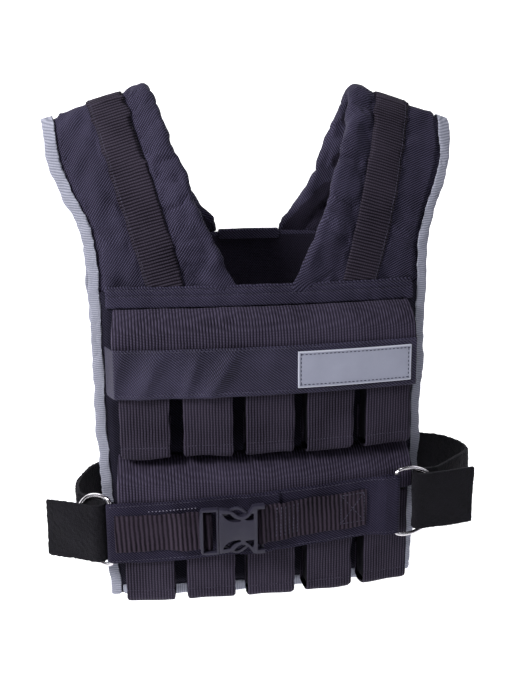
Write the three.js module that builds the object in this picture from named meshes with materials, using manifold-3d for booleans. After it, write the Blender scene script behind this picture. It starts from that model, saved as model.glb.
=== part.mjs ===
// A weighted vest, held up by its two shoulder straps: padded front and back panels, two rows of
// weights in webbing loops, a buckled belt, and side straps that pass through two metal rings.
// Millimetres. +Z is up, the front faces -Y, X = 0 is the middle of the vest, and the origin lies
// between the straps, under their highest line, where the vest sits on the shoulders.

import * as THREE from 'three';
import Module from 'manifold-3d';
import { mergeVertices } from 'three/addons/utils/BufferGeometryUtils.js';

const wasm = await Module();
wasm.setup();

// Clearances
const GAP = 0.3;
const FLAP_CLEARANCE = 0.8;

// Heights, down from the shoulder ridge
const CHEST_DROP = 199;
const NECK_DROP = 150;
const BOTTOM_DROP = 527;
const SHOULDER_FALL = 29;

// Depths and bows of the two panels
const CHEST_REACH = 80;
const CHEST_BOW = 14;
const NECK_REACH = 25;
const NECK_BOW = 3;
const WAIST_REACH = 42;
const WAIST_BOW = 12;

// Half widths, to the inner edge of the binding tape or to the neck opening
const CHEST_HALF = 163;
const WAIST_HALF = 154;
const BACK_HALF = 168;
const RIDGE_OUTER = 202;
const RIDGE_INNER = 105;
const HEM_INNER = 27;
const NECK_HALF = 34;

// Cloth thicknesses
const PANEL_THICKNESS = 8;
const FLANGE_THICKNESS = 3;
const FLANGE_SLOPE = 5;
const PAD_THICKNESS = 15;
const STRAP_EDGE_THICKNESS = 8;
const WEBBING_THICKNESS = 1.8;
const TWILL_THICKNESS = 2;
const TAPE_WALL = 0.9;
const TAPE_WIDTH = 12;

// Shoulder webbing
const WEBBING_WIDTH = 38;
const WEBBING_HEM_MIDDLE = 98;
const WEBBING_RIDGE_MIDDLE = 150;
const WEBBING_NECK_MIDDLE = 104;

// Front and back hems
const HEM_COVER = 5;
const HEM_HEIGHT = 21;
const BACK_HEM_HEIGHT = 8;

// Weights and the loops that carry them
const WEIGHT_WIDTH = 48;
const WEIGHT_DEPTH = 22.6;
const WEIGHT_HEIGHT = 130;
const WEIGHT_ROUND = 5;
const LOOP_WIDTH = 50;
const LOOP_FRONT_HEIGHT = 104;
const LOOP_BACK_HEIGHT = 40;
const POCKET_PITCH = 61;
const POCKETS = 5;
const UPPER_LOOP_DROP = 366;
const LOWER_LOOP_DROP = 522;

// Covers of the two rows
const UPPER_BAND_DROP = 216;
const UPPER_BAND_HEIGHT = 40;
const LOWER_BAND_DROP = 368;
const LOWER_BAND_HEIGHT = 46;
const BAND_HALF = 151;
const FLAP_HALF = 160;
const END_LIFT = 5;
const END_MARGIN = 2;
const FLAP_HEIGHT = 50;
const FLAP_LAP = 5;

// Patch
const PATCH_WIDTH = 116;
const PATCH_HEIGHT = 37;
const PATCH_THICKNESS = 1.6;
const PATCH_MIDDLE = 84;

// Belt and its webbing. The belt rises towards +X by a share of the way along it.
const BELT_HEIGHT = 65;
const BELT_LAP = 12;
const BELT_SLOPE = 0.05;
const BELT_THICKNESS = 2.5;
const BELT_WEBBING_WIDTH = 40;
const BELT_LEFT_END = 8;
const BELT_RIGHT_END = -22;
const BELT_STEP = 12;
const BELT_WEBBING_END = 98;
const WEBBING_LAP = 20;
const WEBBING_STEP = 8;
const SLEEVE_LAP = 14;

// Buckle
const BUCKLE_LEFT = -74;
const BUCKLE_LENGTH = 66;
const BUCKLE_HEIGHT = 48;
const BUCKLE_THICKNESS = 8;
const BUCKLE_RIM = 3.6;
const BUCKLE_FRAME_LENGTH = 19;
const BUCKLE_BAR = 4;
const BUCKLE_BAR_PLACE = 10;
const ARM_WIDTH = 2.6;
const ARM_DEPTH = 3.2;

// Rings and side straps
const RING_WIRE = 4.4;
const RING_BAR_HEIGHT = 67;
const RING_BOW_HEIGHT = 79;
const RING_DEPTH = 50;
const RING_LEFT_OUT = 11;
const RING_RIGHT_IN = 19;
const RING_YAW_LEFT = 46;
const RING_YAW_RIGHT = 8;
const SIDE_STRAP_HEIGHT = 62;
const SIDE_STRAP_THICKNESS = 4;
const SIDE_STRAP_LAP = 34;
const FOLD_RADIUS = 7.5;
const FOLD_OUT_LEFT = 16;
const FOLD_OUT_RIGHT = 29;
const FREE_LENGTH_LEFT = 58;
const FREE_LENGTH_RIGHT = 56;
const FREE_YAW_LEFT = 34;
const FREE_YAW_RIGHT = 4;
const STRAP_BULGE_LEFT = 40;
const STRAP_BULGE_RIGHT = 76;

// Shoulder strap profiles. rise and fall are shares of the strap's height, reach is a share of the
// depth between the ridge and the panel, inner and outer are shares of the way that each edge goes,
// and puff is a share of the pad's thickness.
const FRONT_ROWS = [
  { rise: 0.0, reach: 0.0, inner: 0.0, outer: 0.0, puff: 0.45 },
  { rise: 0.05, reach: 0.002, inner: 0.07, outer: 0.0, puff: 0.6 },
  { rise: 0.15, reach: 0.012, inner: 0.21, outer: 0.02, puff: 0.95 },
  { rise: 0.28, reach: 0.045, inner: 0.37, outer: 0.09, puff: 0.85 },
  { rise: 0.42, reach: 0.13, inner: 0.5, outer: 0.3, puff: 1.0 },
  { rise: 0.56, reach: 0.25, inner: 0.61, outer: 0.57, puff: 1.0 },
  { rise: 0.7, reach: 0.41, inner: 0.74, outer: 0.8, puff: 0.86 },
  { rise: 0.82, reach: 0.58, inner: 0.85, outer: 0.92, puff: 1.0 },
  { rise: 0.92, reach: 0.75, inner: 0.93, outer: 0.97, puff: 1.0 },
  { rise: 0.98, reach: 0.89, inner: 0.98, outer: 0.99, puff: 0.95 },
  { rise: 1.0, reach: 1.0, inner: 1.0, outer: 1.0, puff: 0.95 },
];
const BACK_ROWS = [
  { fall: 0.0, reach: 0.0, inner: 0.0, outer: 0.0, puff: 0.95 },
  { fall: 0.018, reach: 0.25, inner: 0.03, outer: 0.02, puff: 0.95 },
  { fall: 0.08, reach: 0.5, inner: 0.07, outer: 0.06, puff: 1.0 },
  { fall: 0.24, reach: 0.74, inner: 0.18, outer: 0.2, puff: 1.0 },
  { fall: 0.44, reach: 0.88, inner: 0.34, outer: 0.4, puff: 0.88 },
  { fall: 0.64, reach: 0.95, inner: 0.51, outer: 0.62, puff: 1.0 },
  { fall: 0.8, reach: 0.98, inner: 0.73, outer: 0.82, puff: 0.9 },
  { fall: 0.93, reach: 0.995, inner: 0.93, outer: 0.95, puff: 0.6 },
  { fall: 1.0, reach: 1.0, inner: 1.0, outer: 1.0, puff: 0.45 },
];

// Covers' outline, from the top seam down: drop is a share of the band's height, lift of its bulge.
const BAND_ROWS = [
  { drop: 0.0, lift: 0.0 },
  { drop: 0.1, lift: 0.3 },
  { drop: 0.28, lift: 0.66 },
  { drop: 0.52, lift: 0.92 },
  { drop: 0.78, lift: 1.0 },
  { drop: 1.0, lift: 1.0 },
];

// Buckle outlines from the middle line up: along is a share of the buckle's length, up of half its
// height. Each pair of rows after the first is one curve's control point and end.
const SOCKET_EDGE = [
  { along: 0.297, up: 0.97 },
  { along: 0.47, up: 0.97 },
  { along: 0.54, up: 0.8 },
  { along: 0.585, up: 0.63 },
  { along: 0.65, up: 0.62 },
  { along: 0.75, up: 0.64 },
  { along: 0.82, up: 1.04 },
  { along: 0.9, up: 1.09 },
  { along: 1.0, up: 1.07 },
];
const LONG_HOLE = [
  { along: 0.35, up: 0.8 },
  { along: 0.42, up: 0.8 },
  { along: 0.47, up: 0.78 },
  { along: 0.53, up: 0.54 },
  { along: 0.63, up: 0.5 },
  { along: 0.64, up: 0.4 },
  { along: 0.6, up: 0.4 },
  { along: 0.4, up: 0.38 },
  { along: 0.35, up: 0.8 },
];
const SHORT_HOLE = [
  { along: 0.69, up: 0.5 },
  { along: 0.74, up: 0.56 },
  { along: 0.8, up: 0.76 },
  { along: 0.83, up: 0.76 },
  { along: 0.835, up: 0.7 },
  { along: 0.835, up: 0.6 },
  { along: 0.83, up: 0.44 },
  { along: 0.72, up: 0.42 },
  { along: 0.69, up: 0.5 },
];
const ARM_LINE = [
  { along: 0.27, up: 0.62 },
  { along: 0.38, up: 0.7 },
  { along: 0.5, up: 0.93 },
  { along: 0.6, up: 0.97 },
  { along: 0.7, up: 0.8 },
  { along: 0.76, up: 0.62 },
];

// The path parameter runs over the shoulder, with these whole values at its corners.
const FRONT_BOTTOM = 0;
const FRONT_TOP = 1;
const RIDGE = 2;
const BACK_TOP = 3;
const BACK_BOTTOM = 4;

const { lerp, smoothstep } = THREE.MathUtils;
const halfPanel = PANEL_THICKNESS / 2;

function material(color, roughness, metalness = 0) {
  return new THREE.MeshStandardMaterial({ color, roughness, metalness });
}

const TWILL = material(0x28263a, 0.75);
const WEBBING = material(0x2e2a38, 0.85);
const FLEECE = material(0x17151f, 0.95);
const TAPE = material(0xa2a4b8, 0.7);
const RUBBER = material(0xa9abc2, 0.55);
const PLASTIC = material(0x42404f, 0.45);
const CHROME = material(0xcfcbd0, 0.2, 1);

// Splines through the columns of a table of rows
function columnSpline(rows, first, second) {
  return new THREE.SplineCurve(rows.map((row) => new THREE.Vector2(row[first], row[second])));
}

const frontProfile = columnSpline(FRONT_ROWS, 'reach', 'rise');
const frontEdges = columnSpline(FRONT_ROWS, 'inner', 'outer');
const backProfile = columnSpline(BACK_ROWS, 'reach', 'fall');
const backEdges = columnSpline(BACK_ROWS, 'inner', 'outer');

// Middle surfaces of the panels
function frontMiddle(x) {
  return halfPanel - CHEST_REACH + CHEST_BOW * (x / CHEST_HALF) ** 2;
}

function backMiddle(x, z) {
  const reach = lerp(NECK_REACH, WAIST_REACH, smoothstep(-z, NECK_DROP, BOTTOM_DROP));
  const bow = lerp(NECK_BOW, WAIST_BOW, smoothstep(-z, NECK_DROP, BOTTOM_DROP));
  return reach - bow * (x / BACK_HALF) ** 2;
}

// Height of the shoulder ridge, which falls towards the arm
function ridgeHeight(x) {
  return (-SHOULDER_FALL * (x - RIDGE_INNER)) / (RIDGE_OUTER - RIDGE_INNER);
}

// Middle surface of the whole vest at one place of the path and one distance from the middle
function shellPoint(path, x) {
  if (path <= FRONT_TOP) {
    return new THREE.Vector3(x, frontMiddle(x), lerp(-BOTTOM_DROP, -CHEST_DROP, path));
  }
  if (path <= RIDGE) {
    const share = frontProfile.getPoint(path - FRONT_TOP);
    const y = lerp(frontMiddle(x), 0, share.x);
    return new THREE.Vector3(x, y, lerp(-CHEST_DROP, ridgeHeight(x), share.y));
  }
  if (path <= BACK_TOP) {
    const share = backProfile.getPoint(path - RIDGE);
    const y = lerp(0, backMiddle(x, -NECK_DROP), share.x);
    return new THREE.Vector3(x, y, lerp(ridgeHeight(x), -NECK_DROP, share.y));
  }
  const z = lerp(-NECK_DROP, -BOTTOM_DROP, path - BACK_TOP);
  return new THREE.Vector3(x, backMiddle(x, z), z);
}

// Point, outward normal and sideways direction of the middle surface
function shellFrame(path, x) {
  const pathStep = 0.004;
  const sideStep = 0.5;
  const point = shellPoint(path, x);
  const ahead = shellPoint(Math.min(path + pathStep, BACK_BOTTOM), x);
  const behind = shellPoint(Math.max(path - pathStep, FRONT_BOTTOM), x);
  const along = ahead.sub(behind);
  const side = shellPoint(path, x + sideStep).sub(shellPoint(path, x - sideStep)).normalize();
  const normal = new THREE.Vector3().crossVectors(side, along).normalize();
  return { point, normal, side };
}

function innerEdge(path) {
  if (path <= RIDGE) {
    return lerp(HEM_INNER, RIDGE_INNER, frontEdges.getPoint(path - FRONT_TOP).x);
  }
  return lerp(RIDGE_INNER, NECK_HALF, backEdges.getPoint(path - RIDGE).x);
}

function outerEdge(path) {
  if (path <= FRONT_TOP) {
    return lerp(CHEST_HALF, WAIST_HALF, (1 - path) ** 2);
  }
  if (path <= RIDGE) {
    return lerp(CHEST_HALF, RIDGE_OUTER, frontEdges.getPoint(path - FRONT_TOP).y);
  }
  if (path <= BACK_TOP) {
    return lerp(RIDGE_OUTER, BACK_HALF, backEdges.getPoint(path - RIDGE).y);
  }
  return lerp(BACK_HALF, WAIST_HALF, path - BACK_TOP);
}

function webbingMiddle(path) {
  if (path <= RIDGE) {
    return lerp(WEBBING_HEM_MIDDLE, WEBBING_RIDGE_MIDDLE, frontProfile.getPoint(path - FRONT_TOP).y);
  }
  return lerp(WEBBING_RIDGE_MIDDLE, WEBBING_NECK_MIDDLE, backProfile.getPoint(path - RIDGE).y);
}

// Puff of the pad, read from the tables between their rows
function padPuff(path) {
  const rows = path <= RIDGE ? FRONT_ROWS : BACK_ROWS;
  const place = (path <= RIDGE ? path - FRONT_TOP : path - RIDGE) * (rows.length - 1);
  const row = Math.min(Math.floor(place), rows.length - 2);
  return lerp(rows[row].puff, rows[row + 1].puff, place - row);
}

function spread(from, to, count) {
  return Array.from({ length: count + 1 }, (_, index) => lerp(from, to, index / count));
}

// Triangles of a flat or nearly flat ring of points, for the ends of a loft
function capTriangles(ring) {
  const normal = new THREE.Vector3();
  for (let i = 0; i < ring.length; i += 1) {
    normal.add(new THREE.Vector3().crossVectors(ring[i], ring[(i + 1) % ring.length]));
  }
  normal.normalize();
  const helper = Math.abs(normal.z) > 0.7 ? new THREE.Vector3(1, 0, 0) : new THREE.Vector3(0, 0, 1);
  const u = new THREE.Vector3().crossVectors(helper, normal).normalize();
  const v = new THREE.Vector3().crossVectors(normal, u);
  const flat = ring.map((point) => new THREE.Vector2(point.dot(u), point.dot(v)));
  return THREE.ShapeUtils.triangulateShape(flat, []);
}

// Closed body through rings with equal numbers of points, turned so that its faces point out
function loft(rings, looped = false) {
  const size = rings[0].length;
  const positions = rings.flat();
  const triangles = [];
  const spans = looped ? rings.length : rings.length - 1;
  for (let i = 0; i < spans; i += 1) {
    const next = ((i + 1) % rings.length) * size;
    for (let j = 0; j < size; j += 1) {
      const k = (j + 1) % size;
      triangles.push([i * size + j, i * size + k, next + k], [i * size + j, next + k, next + j]);
    }
  }
  if (!looped) {
    const last = (rings.length - 1) * size;
    const faces = capTriangles(rings[0]);
    faces.forEach(([a, b, c]) => triangles.push([a, c, b], [last + a, last + b, last + c]));
  }
  return closedBody(positions, triangles);
}

function closedBody(positions, triangles) {
  let volume = 0;
  triangles.forEach(([a, b, c]) => {
    const cross = new THREE.Vector3().crossVectors(positions[b], positions[c]);
    volume += positions[a].dot(cross);
  });
  const faces = volume > 0 ? triangles : triangles.map(([a, b, c]) => [a, c, b]);
  const geometry = new THREE.BufferGeometry().setFromPoints(positions);
  geometry.setIndex(faces.flat());
  geometry.computeVertexNormals();
  return geometry;
}

function mirrored(point, side) {
  return new THREE.Vector3(side * point.x, point.y, point.z);
}

const vest = new THREE.Group();

function addMesh(name, geometry, finish, parent = vest) {
  const mesh = new THREE.Mesh(geometry, finish);
  mesh.name = name;
  parent.add(mesh);
  return mesh;
}

// Path stations, shared by every piece that runs along the edge, so that their facets agree
const trim = GAP / CHEST_DROP;
const panelStations = spread(FRONT_BOTTOM, FRONT_TOP, 8);
const frontStrapStations = [FRONT_TOP + trim, ...spread(FRONT_TOP, RIDGE, 20).slice(1)];
const backStrapStations = [...spread(RIDGE, BACK_TOP, 16).slice(0, -1), BACK_TOP - trim];
const strapStations = [...frontStrapStations, ...backStrapStations.slice(1)];
const backPanelStations = spread(BACK_TOP, BACK_BOTTOM, 8);

// Thin sewn edge that sits inside the tape
const flangeReach = TAPE_WIDTH - TAPE_WALL - GAP;

function flangePair(path) {
  const { point, normal, side } = shellFrame(path, outerEdge(path));
  return [0, flangeReach].map((reach) => {
    const middle = point.clone().addScaledVector(side, reach);
    return [1, -1].map((sign) => middle.clone().addScaledVector(normal, (sign * FLANGE_THICKNESS) / 2));
  });
}

// Ring across a panel: outer row from left to right, then the inner row back
function panelRing(path, thickness) {
  const edge = outerEdge(path) - FLANGE_SLOPE;
  const [root, tip] = flangePair(path);
  const rows = [1, -1].map((sign, row) => {
    const body = spread(-edge, edge, 12).map((x) => {
      const { point, normal } = shellFrame(path, x);
      return point.addScaledVector(normal, (sign * thickness) / 2);
    });
    return [mirrored(tip[row], -1), mirrored(root[row], -1), ...body, root[row], tip[row]];
  });
  return [...rows[0], ...rows[1].reverse()];
}

// The bottom edge of a panel is thin too, where the tape folds round it
function panelGeometry(stations, bottomFirst) {
  const length = bottomFirst ? BOTTOM_DROP - CHEST_DROP : BOTTOM_DROP - NECK_DROP;
  const sewn = TAPE_WIDTH / length;
  const slope = (TAPE_WIDTH + FLANGE_SLOPE) / length;
  const bottom = bottomFirst ? FRONT_BOTTOM : BACK_BOTTOM;
  const inward = bottomFirst ? 1 : -1;
  const thin = [(TAPE_WALL + GAP) / length, sewn].map((reach) => bottom + inward * reach);
  const body = stations.filter((path) => Math.abs(path - bottom) > slope);
  const thick = [bottom + inward * slope, ...(bottomFirst ? body : body.reverse())];
  const rings = [
    ...thin.map((path) => panelRing(path, FLANGE_THICKNESS)),
    ...thick.map((path) => panelRing(path, PANEL_THICKNESS)),
  ];
  return loft(rings);
}

addMesh('front_panel', panelGeometry(panelStations, true), TWILL);
addMesh('back_panel', panelGeometry(backPanelStations, false), TWILL);

// Stations across a shoulder strap, from the neck to the arm, with the cloth's thickness at each
function strapColumns(path) {
  const inner = innerEdge(path);
  const outer = outerEdge(path) - FLANGE_SLOPE / 2;
  const webbing = webbingMiddle(path);
  const near = webbing - WEBBING_WIDTH / 2;
  const far = webbing + WEBBING_WIDTH / 2;
  const pad = PAD_THICKNESS * padPuff(path);
  const edge = Math.min(pad, STRAP_EDGE_THICKNESS);
  return [
    { x: inner, thickness: 0.6 * edge },
    { x: lerp(inner, near, 0.12), thickness: 0.85 * pad },
    { x: lerp(inner, near, 0.4), thickness: pad },
    { x: lerp(inner, near, 0.75), thickness: 0.9 * pad },
    { x: near, thickness: edge },
    { x: webbing, thickness: edge },
    { x: far, thickness: edge },
    { x: lerp(far, outer, 0.5), thickness: 0.85 * edge },
    { x: outer, thickness: 0.6 * edge },
  ];
}

function strapRing(path, side) {
  const [root, tip] = flangePair(path);
  const rows = [1, -1].map((sign, row) => {
    const body = strapColumns(path).map(({ x, thickness }) => {
      const { point, normal } = shellFrame(path, x);
      return point.addScaledVector(normal, (sign * thickness) / 2);
    });
    return [...body, root[row], tip[row]];
  });
  return [...rows[0], ...rows[1].reverse()].map((point) => mirrored(point, side));
}

// Path value at which the front of the strap reaches a height
function pathAtHeight(height, x) {
  let low = FRONT_TOP;
  let high = RIDGE;
  for (let i = 0; i < 40; i += 1) {
    const middle = (low + high) / 2;
    if (shellPoint(middle, x).z < height) {
      low = middle;
    } else {
      high = middle;
    }
  }
  return low;
}

const hemTop = HEM_COVER - CHEST_DROP;
const webbingStart = pathAtHeight(hemTop + GAP, WEBBING_HEM_MIDDLE);
const webbingStations = [webbingStart, ...strapStations.filter((path) => path > webbingStart + 2 * trim)];

// The webbing lies on the strap's own facets, so it shares their stations
function shoulderWebbingRing(path, side) {
  const columns = strapColumns(path).slice(4, 7);
  const rows = [GAP, GAP + WEBBING_THICKNESS].map((lift) => columns.map(({ x, thickness }) => {
    const { point, normal } = shellFrame(path, x);
    return point.addScaledVector(normal, thickness / 2 + lift);
  }));
  return [...rows[0], ...rows[1].reverse()].map((point) => mirrored(point, side));
}

// Folded tape: a C section round the thin edge
function tapeSection() {
  const outer = FLANGE_THICKNESS / 2 + GAP + TAPE_WALL;
  const inner = FLANGE_THICKNESS / 2 + GAP;
  const bend = TAPE_WIDTH - TAPE_WALL;
  return [
    [0, inner], [bend, inner], [bend, -inner], [0, -inner], [0, -outer], [bend, -outer],
    [TAPE_WIDTH, -inner], [TAPE_WIDTH, inner], [bend, outer], [0, outer],
  ];
}

function tapeRing(path, side) {
  const { point, normal, side: sideways } = shellFrame(path, outerEdge(path));
  return tapeSection().map(([reach, lift]) => {
    const place = point.clone().addScaledVector(sideways, reach + GAP).addScaledVector(normal, lift);
    return mirrored(place, side);
  });
}

const tapeStations = [
  ...panelStations,
  ...strapStations,
  ...backPanelStations,
];

[['left', -1], ['right', 1]].forEach(([name, side]) => {
  addMesh(`shoulder_strap_${name}`, loft(strapStations.map((path) => strapRing(path, side))), TWILL);
  const webbing = webbingStations.map((path) => shoulderWebbingRing(path, side));
  addMesh(`shoulder_webbing_${name}`, loft(webbing), WEBBING);
  addMesh(`edge_binding_${name}`, loft(tapeStations.map((path) => tapeRing(path, side))), TAPE);
});

// Tape along a panel's bottom edge, between the two side tapes
function bottomTape(path, inward) {
  const half = outerEdge(path) - 2 * GAP;
  const rings = spread(-half, half, 12).map((x) => {
    const { point, normal } = shellFrame(path, x);
    return tapeSection().map(([reach, lift]) => {
      const place = point.clone().addScaledVector(normal, lift);
      place.z += TAPE_WIDTH - reach;
      return place;
    });
  });
  return loft(inward ? rings : rings.reverse());
}

addMesh('bottom_binding_front', bottomTape(FRONT_BOTTOM, true), TAPE);
addMesh('bottom_binding_back', bottomTape(BACK_BOTTOM, false), TAPE);

// Place on the front panel's face, with its outward direction
function faceFrame(x) {
  const { point, normal } = shellFrame(FRONT_TOP / 2, x);
  const flat = new THREE.Vector2(normal.x, normal.y).normalize();
  return { x: x + flat.x * halfPanel, y: point.y + flat.y * halfPanel, flat };
}

function facePoint(x, lift) {
  const { x: faceX, y, flat } = faceFrame(x);
  return new THREE.Vector2(faceX + flat.x * lift, y + flat.y * lift);
}

// Outline of a ribbon of constant thickness along a line of 2-D points
function ribbonOutline(points, thickness) {
  const line = points.filter((point, index) => index === 0 || point.distanceTo(points[index - 1]) > GAP / 2);
  const sides = [[], []];
  line.forEach((point, index) => {
    const before = line[Math.max(index - 1, 0)];
    const after = line[Math.min(index + 1, line.length - 1)];
    const into = point.clone().sub(before).normalize();
    const out = after.clone().sub(point).normalize();
    const along = into.add(out).normalize();
    const across = new THREE.Vector2(-along.y, along.x).multiplyScalar(thickness / 2);
    sides[0].push(point.clone().add(across));
    sides[1].push(point.clone().sub(across));
  });
  return [...sides[0], ...sides[1].reverse()];
}

// Piece that follows the front panel: a line of (lift, height) points with a thickness, carried
// across the stations. Past the pockets its lift falls towards the panel's sides.
function frontBand(line, thickness, stations, ends = () => 0) {
  return loft(stations.map((x) => {
    const fallen = line.map(({ x: lift, y: z }) => new THREE.Vector2(lift - ends(x, lift), z));
    return ribbonOutline(fallen, thickness).map(({ x: lift, y: z }) => {
      const place = facePoint(x, lift);
      return new THREE.Vector3(place.x, place.y, z);
    });
  }));
}

function plateLine(lift, bottom, top) {
  return [new THREE.Vector2(lift, bottom), new THREE.Vector2(lift, top)];
}

const hemLine = plateLine(GAP + TWILL_THICKNESS / 2, hemTop - HEM_HEIGHT, hemTop);
const hemHalf = CHEST_HALF - FLANGE_SLOPE;
addMesh('front_hem', frontBand(hemLine, TWILL_THICKNESS, spread(-hemHalf, hemHalf, 12)), TWILL);

// Folded hem over the neck edge of the back panel
function backHemGeometry() {
  const inner = halfPanel + GAP;
  const outer = inner + TWILL_THICKNESS;
  const section = [
    [-outer, -BACK_HEM_HEIGHT], [-inner, -BACK_HEM_HEIGHT], [-inner, GAP], [inner, GAP],
    [inner, -BACK_HEM_HEIGHT], [outer, -BACK_HEM_HEIGHT], [outer, GAP + TWILL_THICKNESS],
    [-outer, GAP + TWILL_THICKNESS],
  ];
  const half = NECK_HALF - 2 * GAP;
  return loft(spread(-half, half, 4).map((x) => section.map(([lift, rise]) => (
    new THREE.Vector3(x, backMiddle(x, -NECK_DROP) + lift, rise - NECK_DROP)
  ))));
}

addMesh('back_hem', backHemGeometry(), TWILL);

// Lifts of the layers in front of the panel's face
const loopBackLift = GAP + WEBBING_THICKNESS / 2;
const weightLift = loopBackLift + WEBBING_THICKNESS / 2 + GAP + WEIGHT_DEPTH / 2;
const loopFrontLift = weightLift + WEIGHT_DEPTH / 2 + GAP + WEBBING_THICKNESS / 2;
const bandLift = loopFrontLift + WEBBING_THICKNESS + FLAP_CLEARANCE;
const flapLift = bandLift + WEBBING_THICKNESS / 2 + GAP + TWILL_THICKNESS / 2;
const beltLift = bandLift + WEBBING_THICKNESS / 2 + GAP + BELT_THICKNESS / 2;

// Weight: a bar with rounded sides and ends, its foot at the origin
function weightGeometry() {
  const bar = new THREE.Shape();
  const w = WEIGHT_WIDTH / 2;
  const d = WEIGHT_DEPTH / 2;
  const r = WEIGHT_ROUND;
  bar.moveTo(-w + r, -d);
  bar.lineTo(w - r, -d);
  bar.absarc(w - r, -d + r, r, -Math.PI / 2, 0);
  bar.absarc(w - r, d - r, r, 0, Math.PI / 2);
  bar.absarc(-w + r, d - r, r, Math.PI / 2, Math.PI);
  bar.absarc(-w + r, -d + r, r, Math.PI, 1.5 * Math.PI);
  const outline = bar.getPoints(2);
  outline.pop();
  const rows = [[0, r], [r, 0], [WEIGHT_HEIGHT - r, 0], [WEIGHT_HEIGHT, r]];
  return loft(rows.map(([z, inset]) => outline.map((point) => (
    new THREE.Vector3(point.x * (1 - inset / w), point.y * (1 - inset / d), z)
  ))));
}

// Loop: webbing down the front of a weight, round its foot and up behind it
function loopGeometry() {
  const reach = (loopFrontLift - loopBackLift) / 2;
  const round = WEIGHT_ROUND + GAP + WEBBING_THICKNESS / 2;
  const line = new THREE.Path();
  line.moveTo(-reach, LOOP_FRONT_HEIGHT);
  line.lineTo(-reach, round);
  line.absarc(-reach + round, round, round, Math.PI, 1.5 * Math.PI);
  line.lineTo(reach - round, 0);
  line.absarc(reach - round, round, round, -Math.PI / 2, 0);
  line.lineTo(reach, LOOP_BACK_HEIGHT);
  const outline = ribbonOutline(line.getPoints(4), WEBBING_THICKNESS);
  const rings = [-1, 1].map((sign) => outline.map((point) => (
    new THREE.Vector3((sign * LOOP_WIDTH) / 2, point.x, point.y + WEBBING_THICKNESS / 2)
  )));
  return loft(rings);
}

function addPocketRow(row, drop) {
  for (let index = 0; index < POCKETS; index += 1) {
    const x = (index - (POCKETS - 1) / 2) * POCKET_PITCH;
    const place = facePoint(x, weightLift);
    const { flat } = faceFrame(x);
    const pocket = new THREE.Group();
    pocket.position.set(place.x, place.y, -drop);
    pocket.rotation.z = Math.atan2(flat.y, flat.x) + Math.PI / 2;
    vest.add(pocket);
    const weight = addMesh(`weight_${row}_${index + 1}`, weightGeometry(), TWILL, pocket);
    weight.position.z = WEBBING_THICKNESS + GAP;
    addMesh(`loop_${row}_${index + 1}`, loopGeometry(), WEBBING, pocket);
  }
}

addPocketRow('upper', UPPER_LOOP_DROP);
addPocketRow('lower', LOWER_LOOP_DROP);

// Half the width that the loops take up on the panel's face
const loopsEdge = ((POCKETS - 1) / 2) * POCKET_PITCH + LOOP_WIDTH / 2;

// Covers lie flat over the pockets and fall towards the panel past them
const seamLift = GAP + WEBBING_THICKNESS / 2;

function endFall(x, lift) {
  const past = Math.max(Math.abs(x) - loopsEdge - END_MARGIN, 0) / (FLAP_HALF - loopsEdge - END_MARGIN);
  return (past * (Math.min(lift, bandLift) - seamLift) * (bandLift - END_LIFT)) / bandLift;
}

function coverStations(half) {
  const flat = loopsEdge + END_MARGIN;
  const turn = (half - flat) / 2;
  return [-half, -half + turn, ...spread(-flat, flat, 10), half - turn, half];
}

// Ribbed cover that rises from the panel over the tops of the weights
function bandLine(drop, height) {
  return BAND_ROWS.map((row) => (
    new THREE.Vector2(lerp(seamLift, bandLift, row.lift), -drop - row.drop * height)
  ));
}

const upperBand = bandLine(UPPER_BAND_DROP, UPPER_BAND_HEIGHT);
const lowerBand = bandLine(LOWER_BAND_DROP, LOWER_BAND_HEIGHT);
const bandStations = coverStations(BAND_HALF);
addMesh('pocket_band_upper', frontBand(upperBand, WEBBING_THICKNESS, bandStations, endFall), WEBBING);
addMesh('pocket_band_lower', frontBand(lowerBand, WEBBING_THICKNESS, bandStations, endFall), WEBBING);

const flapTop = FLAP_LAP - UPPER_BAND_DROP - UPPER_BAND_HEIGHT;
const flapLine = plateLine(flapLift, flapTop - FLAP_HEIGHT, flapTop);
addMesh('pocket_flap', frontBand(flapLine, TWILL_THICKNESS, coverStations(FLAP_HALF), endFall), TWILL);

// Plain patch on the flap
const patchLift = flapLift + (TWILL_THICKNESS + PATCH_THICKNESS) / 2 + GAP;
const patchDrop = flapTop - (FLAP_HEIGHT - PATCH_HEIGHT) / 2;
const patchLine = plateLine(patchLift, patchDrop - PATCH_HEIGHT, patchDrop);
const patchStations = spread(PATCH_MIDDLE - PATCH_WIDTH / 2, PATCH_MIDDLE + PATCH_WIDTH / 2, 6);
addMesh('patch', frontBand(patchLine, PATCH_THICKNESS, patchStations), RUBBER);

// Ribbon of cloth standing on its edge: a line seen from above, carried up, on the belt's slope
function ribbonGeometry(line, thickness, bottom, top) {
  const outline = ribbonOutline(line, thickness);
  return loft([bottom, top].map((z) => outline.map((point) => (
    new THREE.Vector3(point.x, point.y, z + BELT_SLOPE * point.x)
  ))));
}

// Fold of cloth round a bar, from the front side to the back side. turn is 1 when the fold's bend
// faces +X and -1 when it faces -X, and lead is an angle that it wraps before the front side.
function foldRoundBar({ centre, front }, radius, turn, lead = 0) {
  return spread(-lead, Math.PI, 7).map((angle) => {
    const place = front + turn * angle;
    return new THREE.Vector2(centre.x + radius * Math.cos(place), centre.y + radius * Math.sin(place));
  });
}

function faceBar(x, lift) {
  const { flat } = faceFrame(x);
  return { centre: facePoint(x, lift), front: Math.atan2(flat.y, flat.x) };
}

function faceLine(from, to, lift, count = 1) {
  return spread(from, to, count).map((x) => facePoint(x, lift));
}

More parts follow.
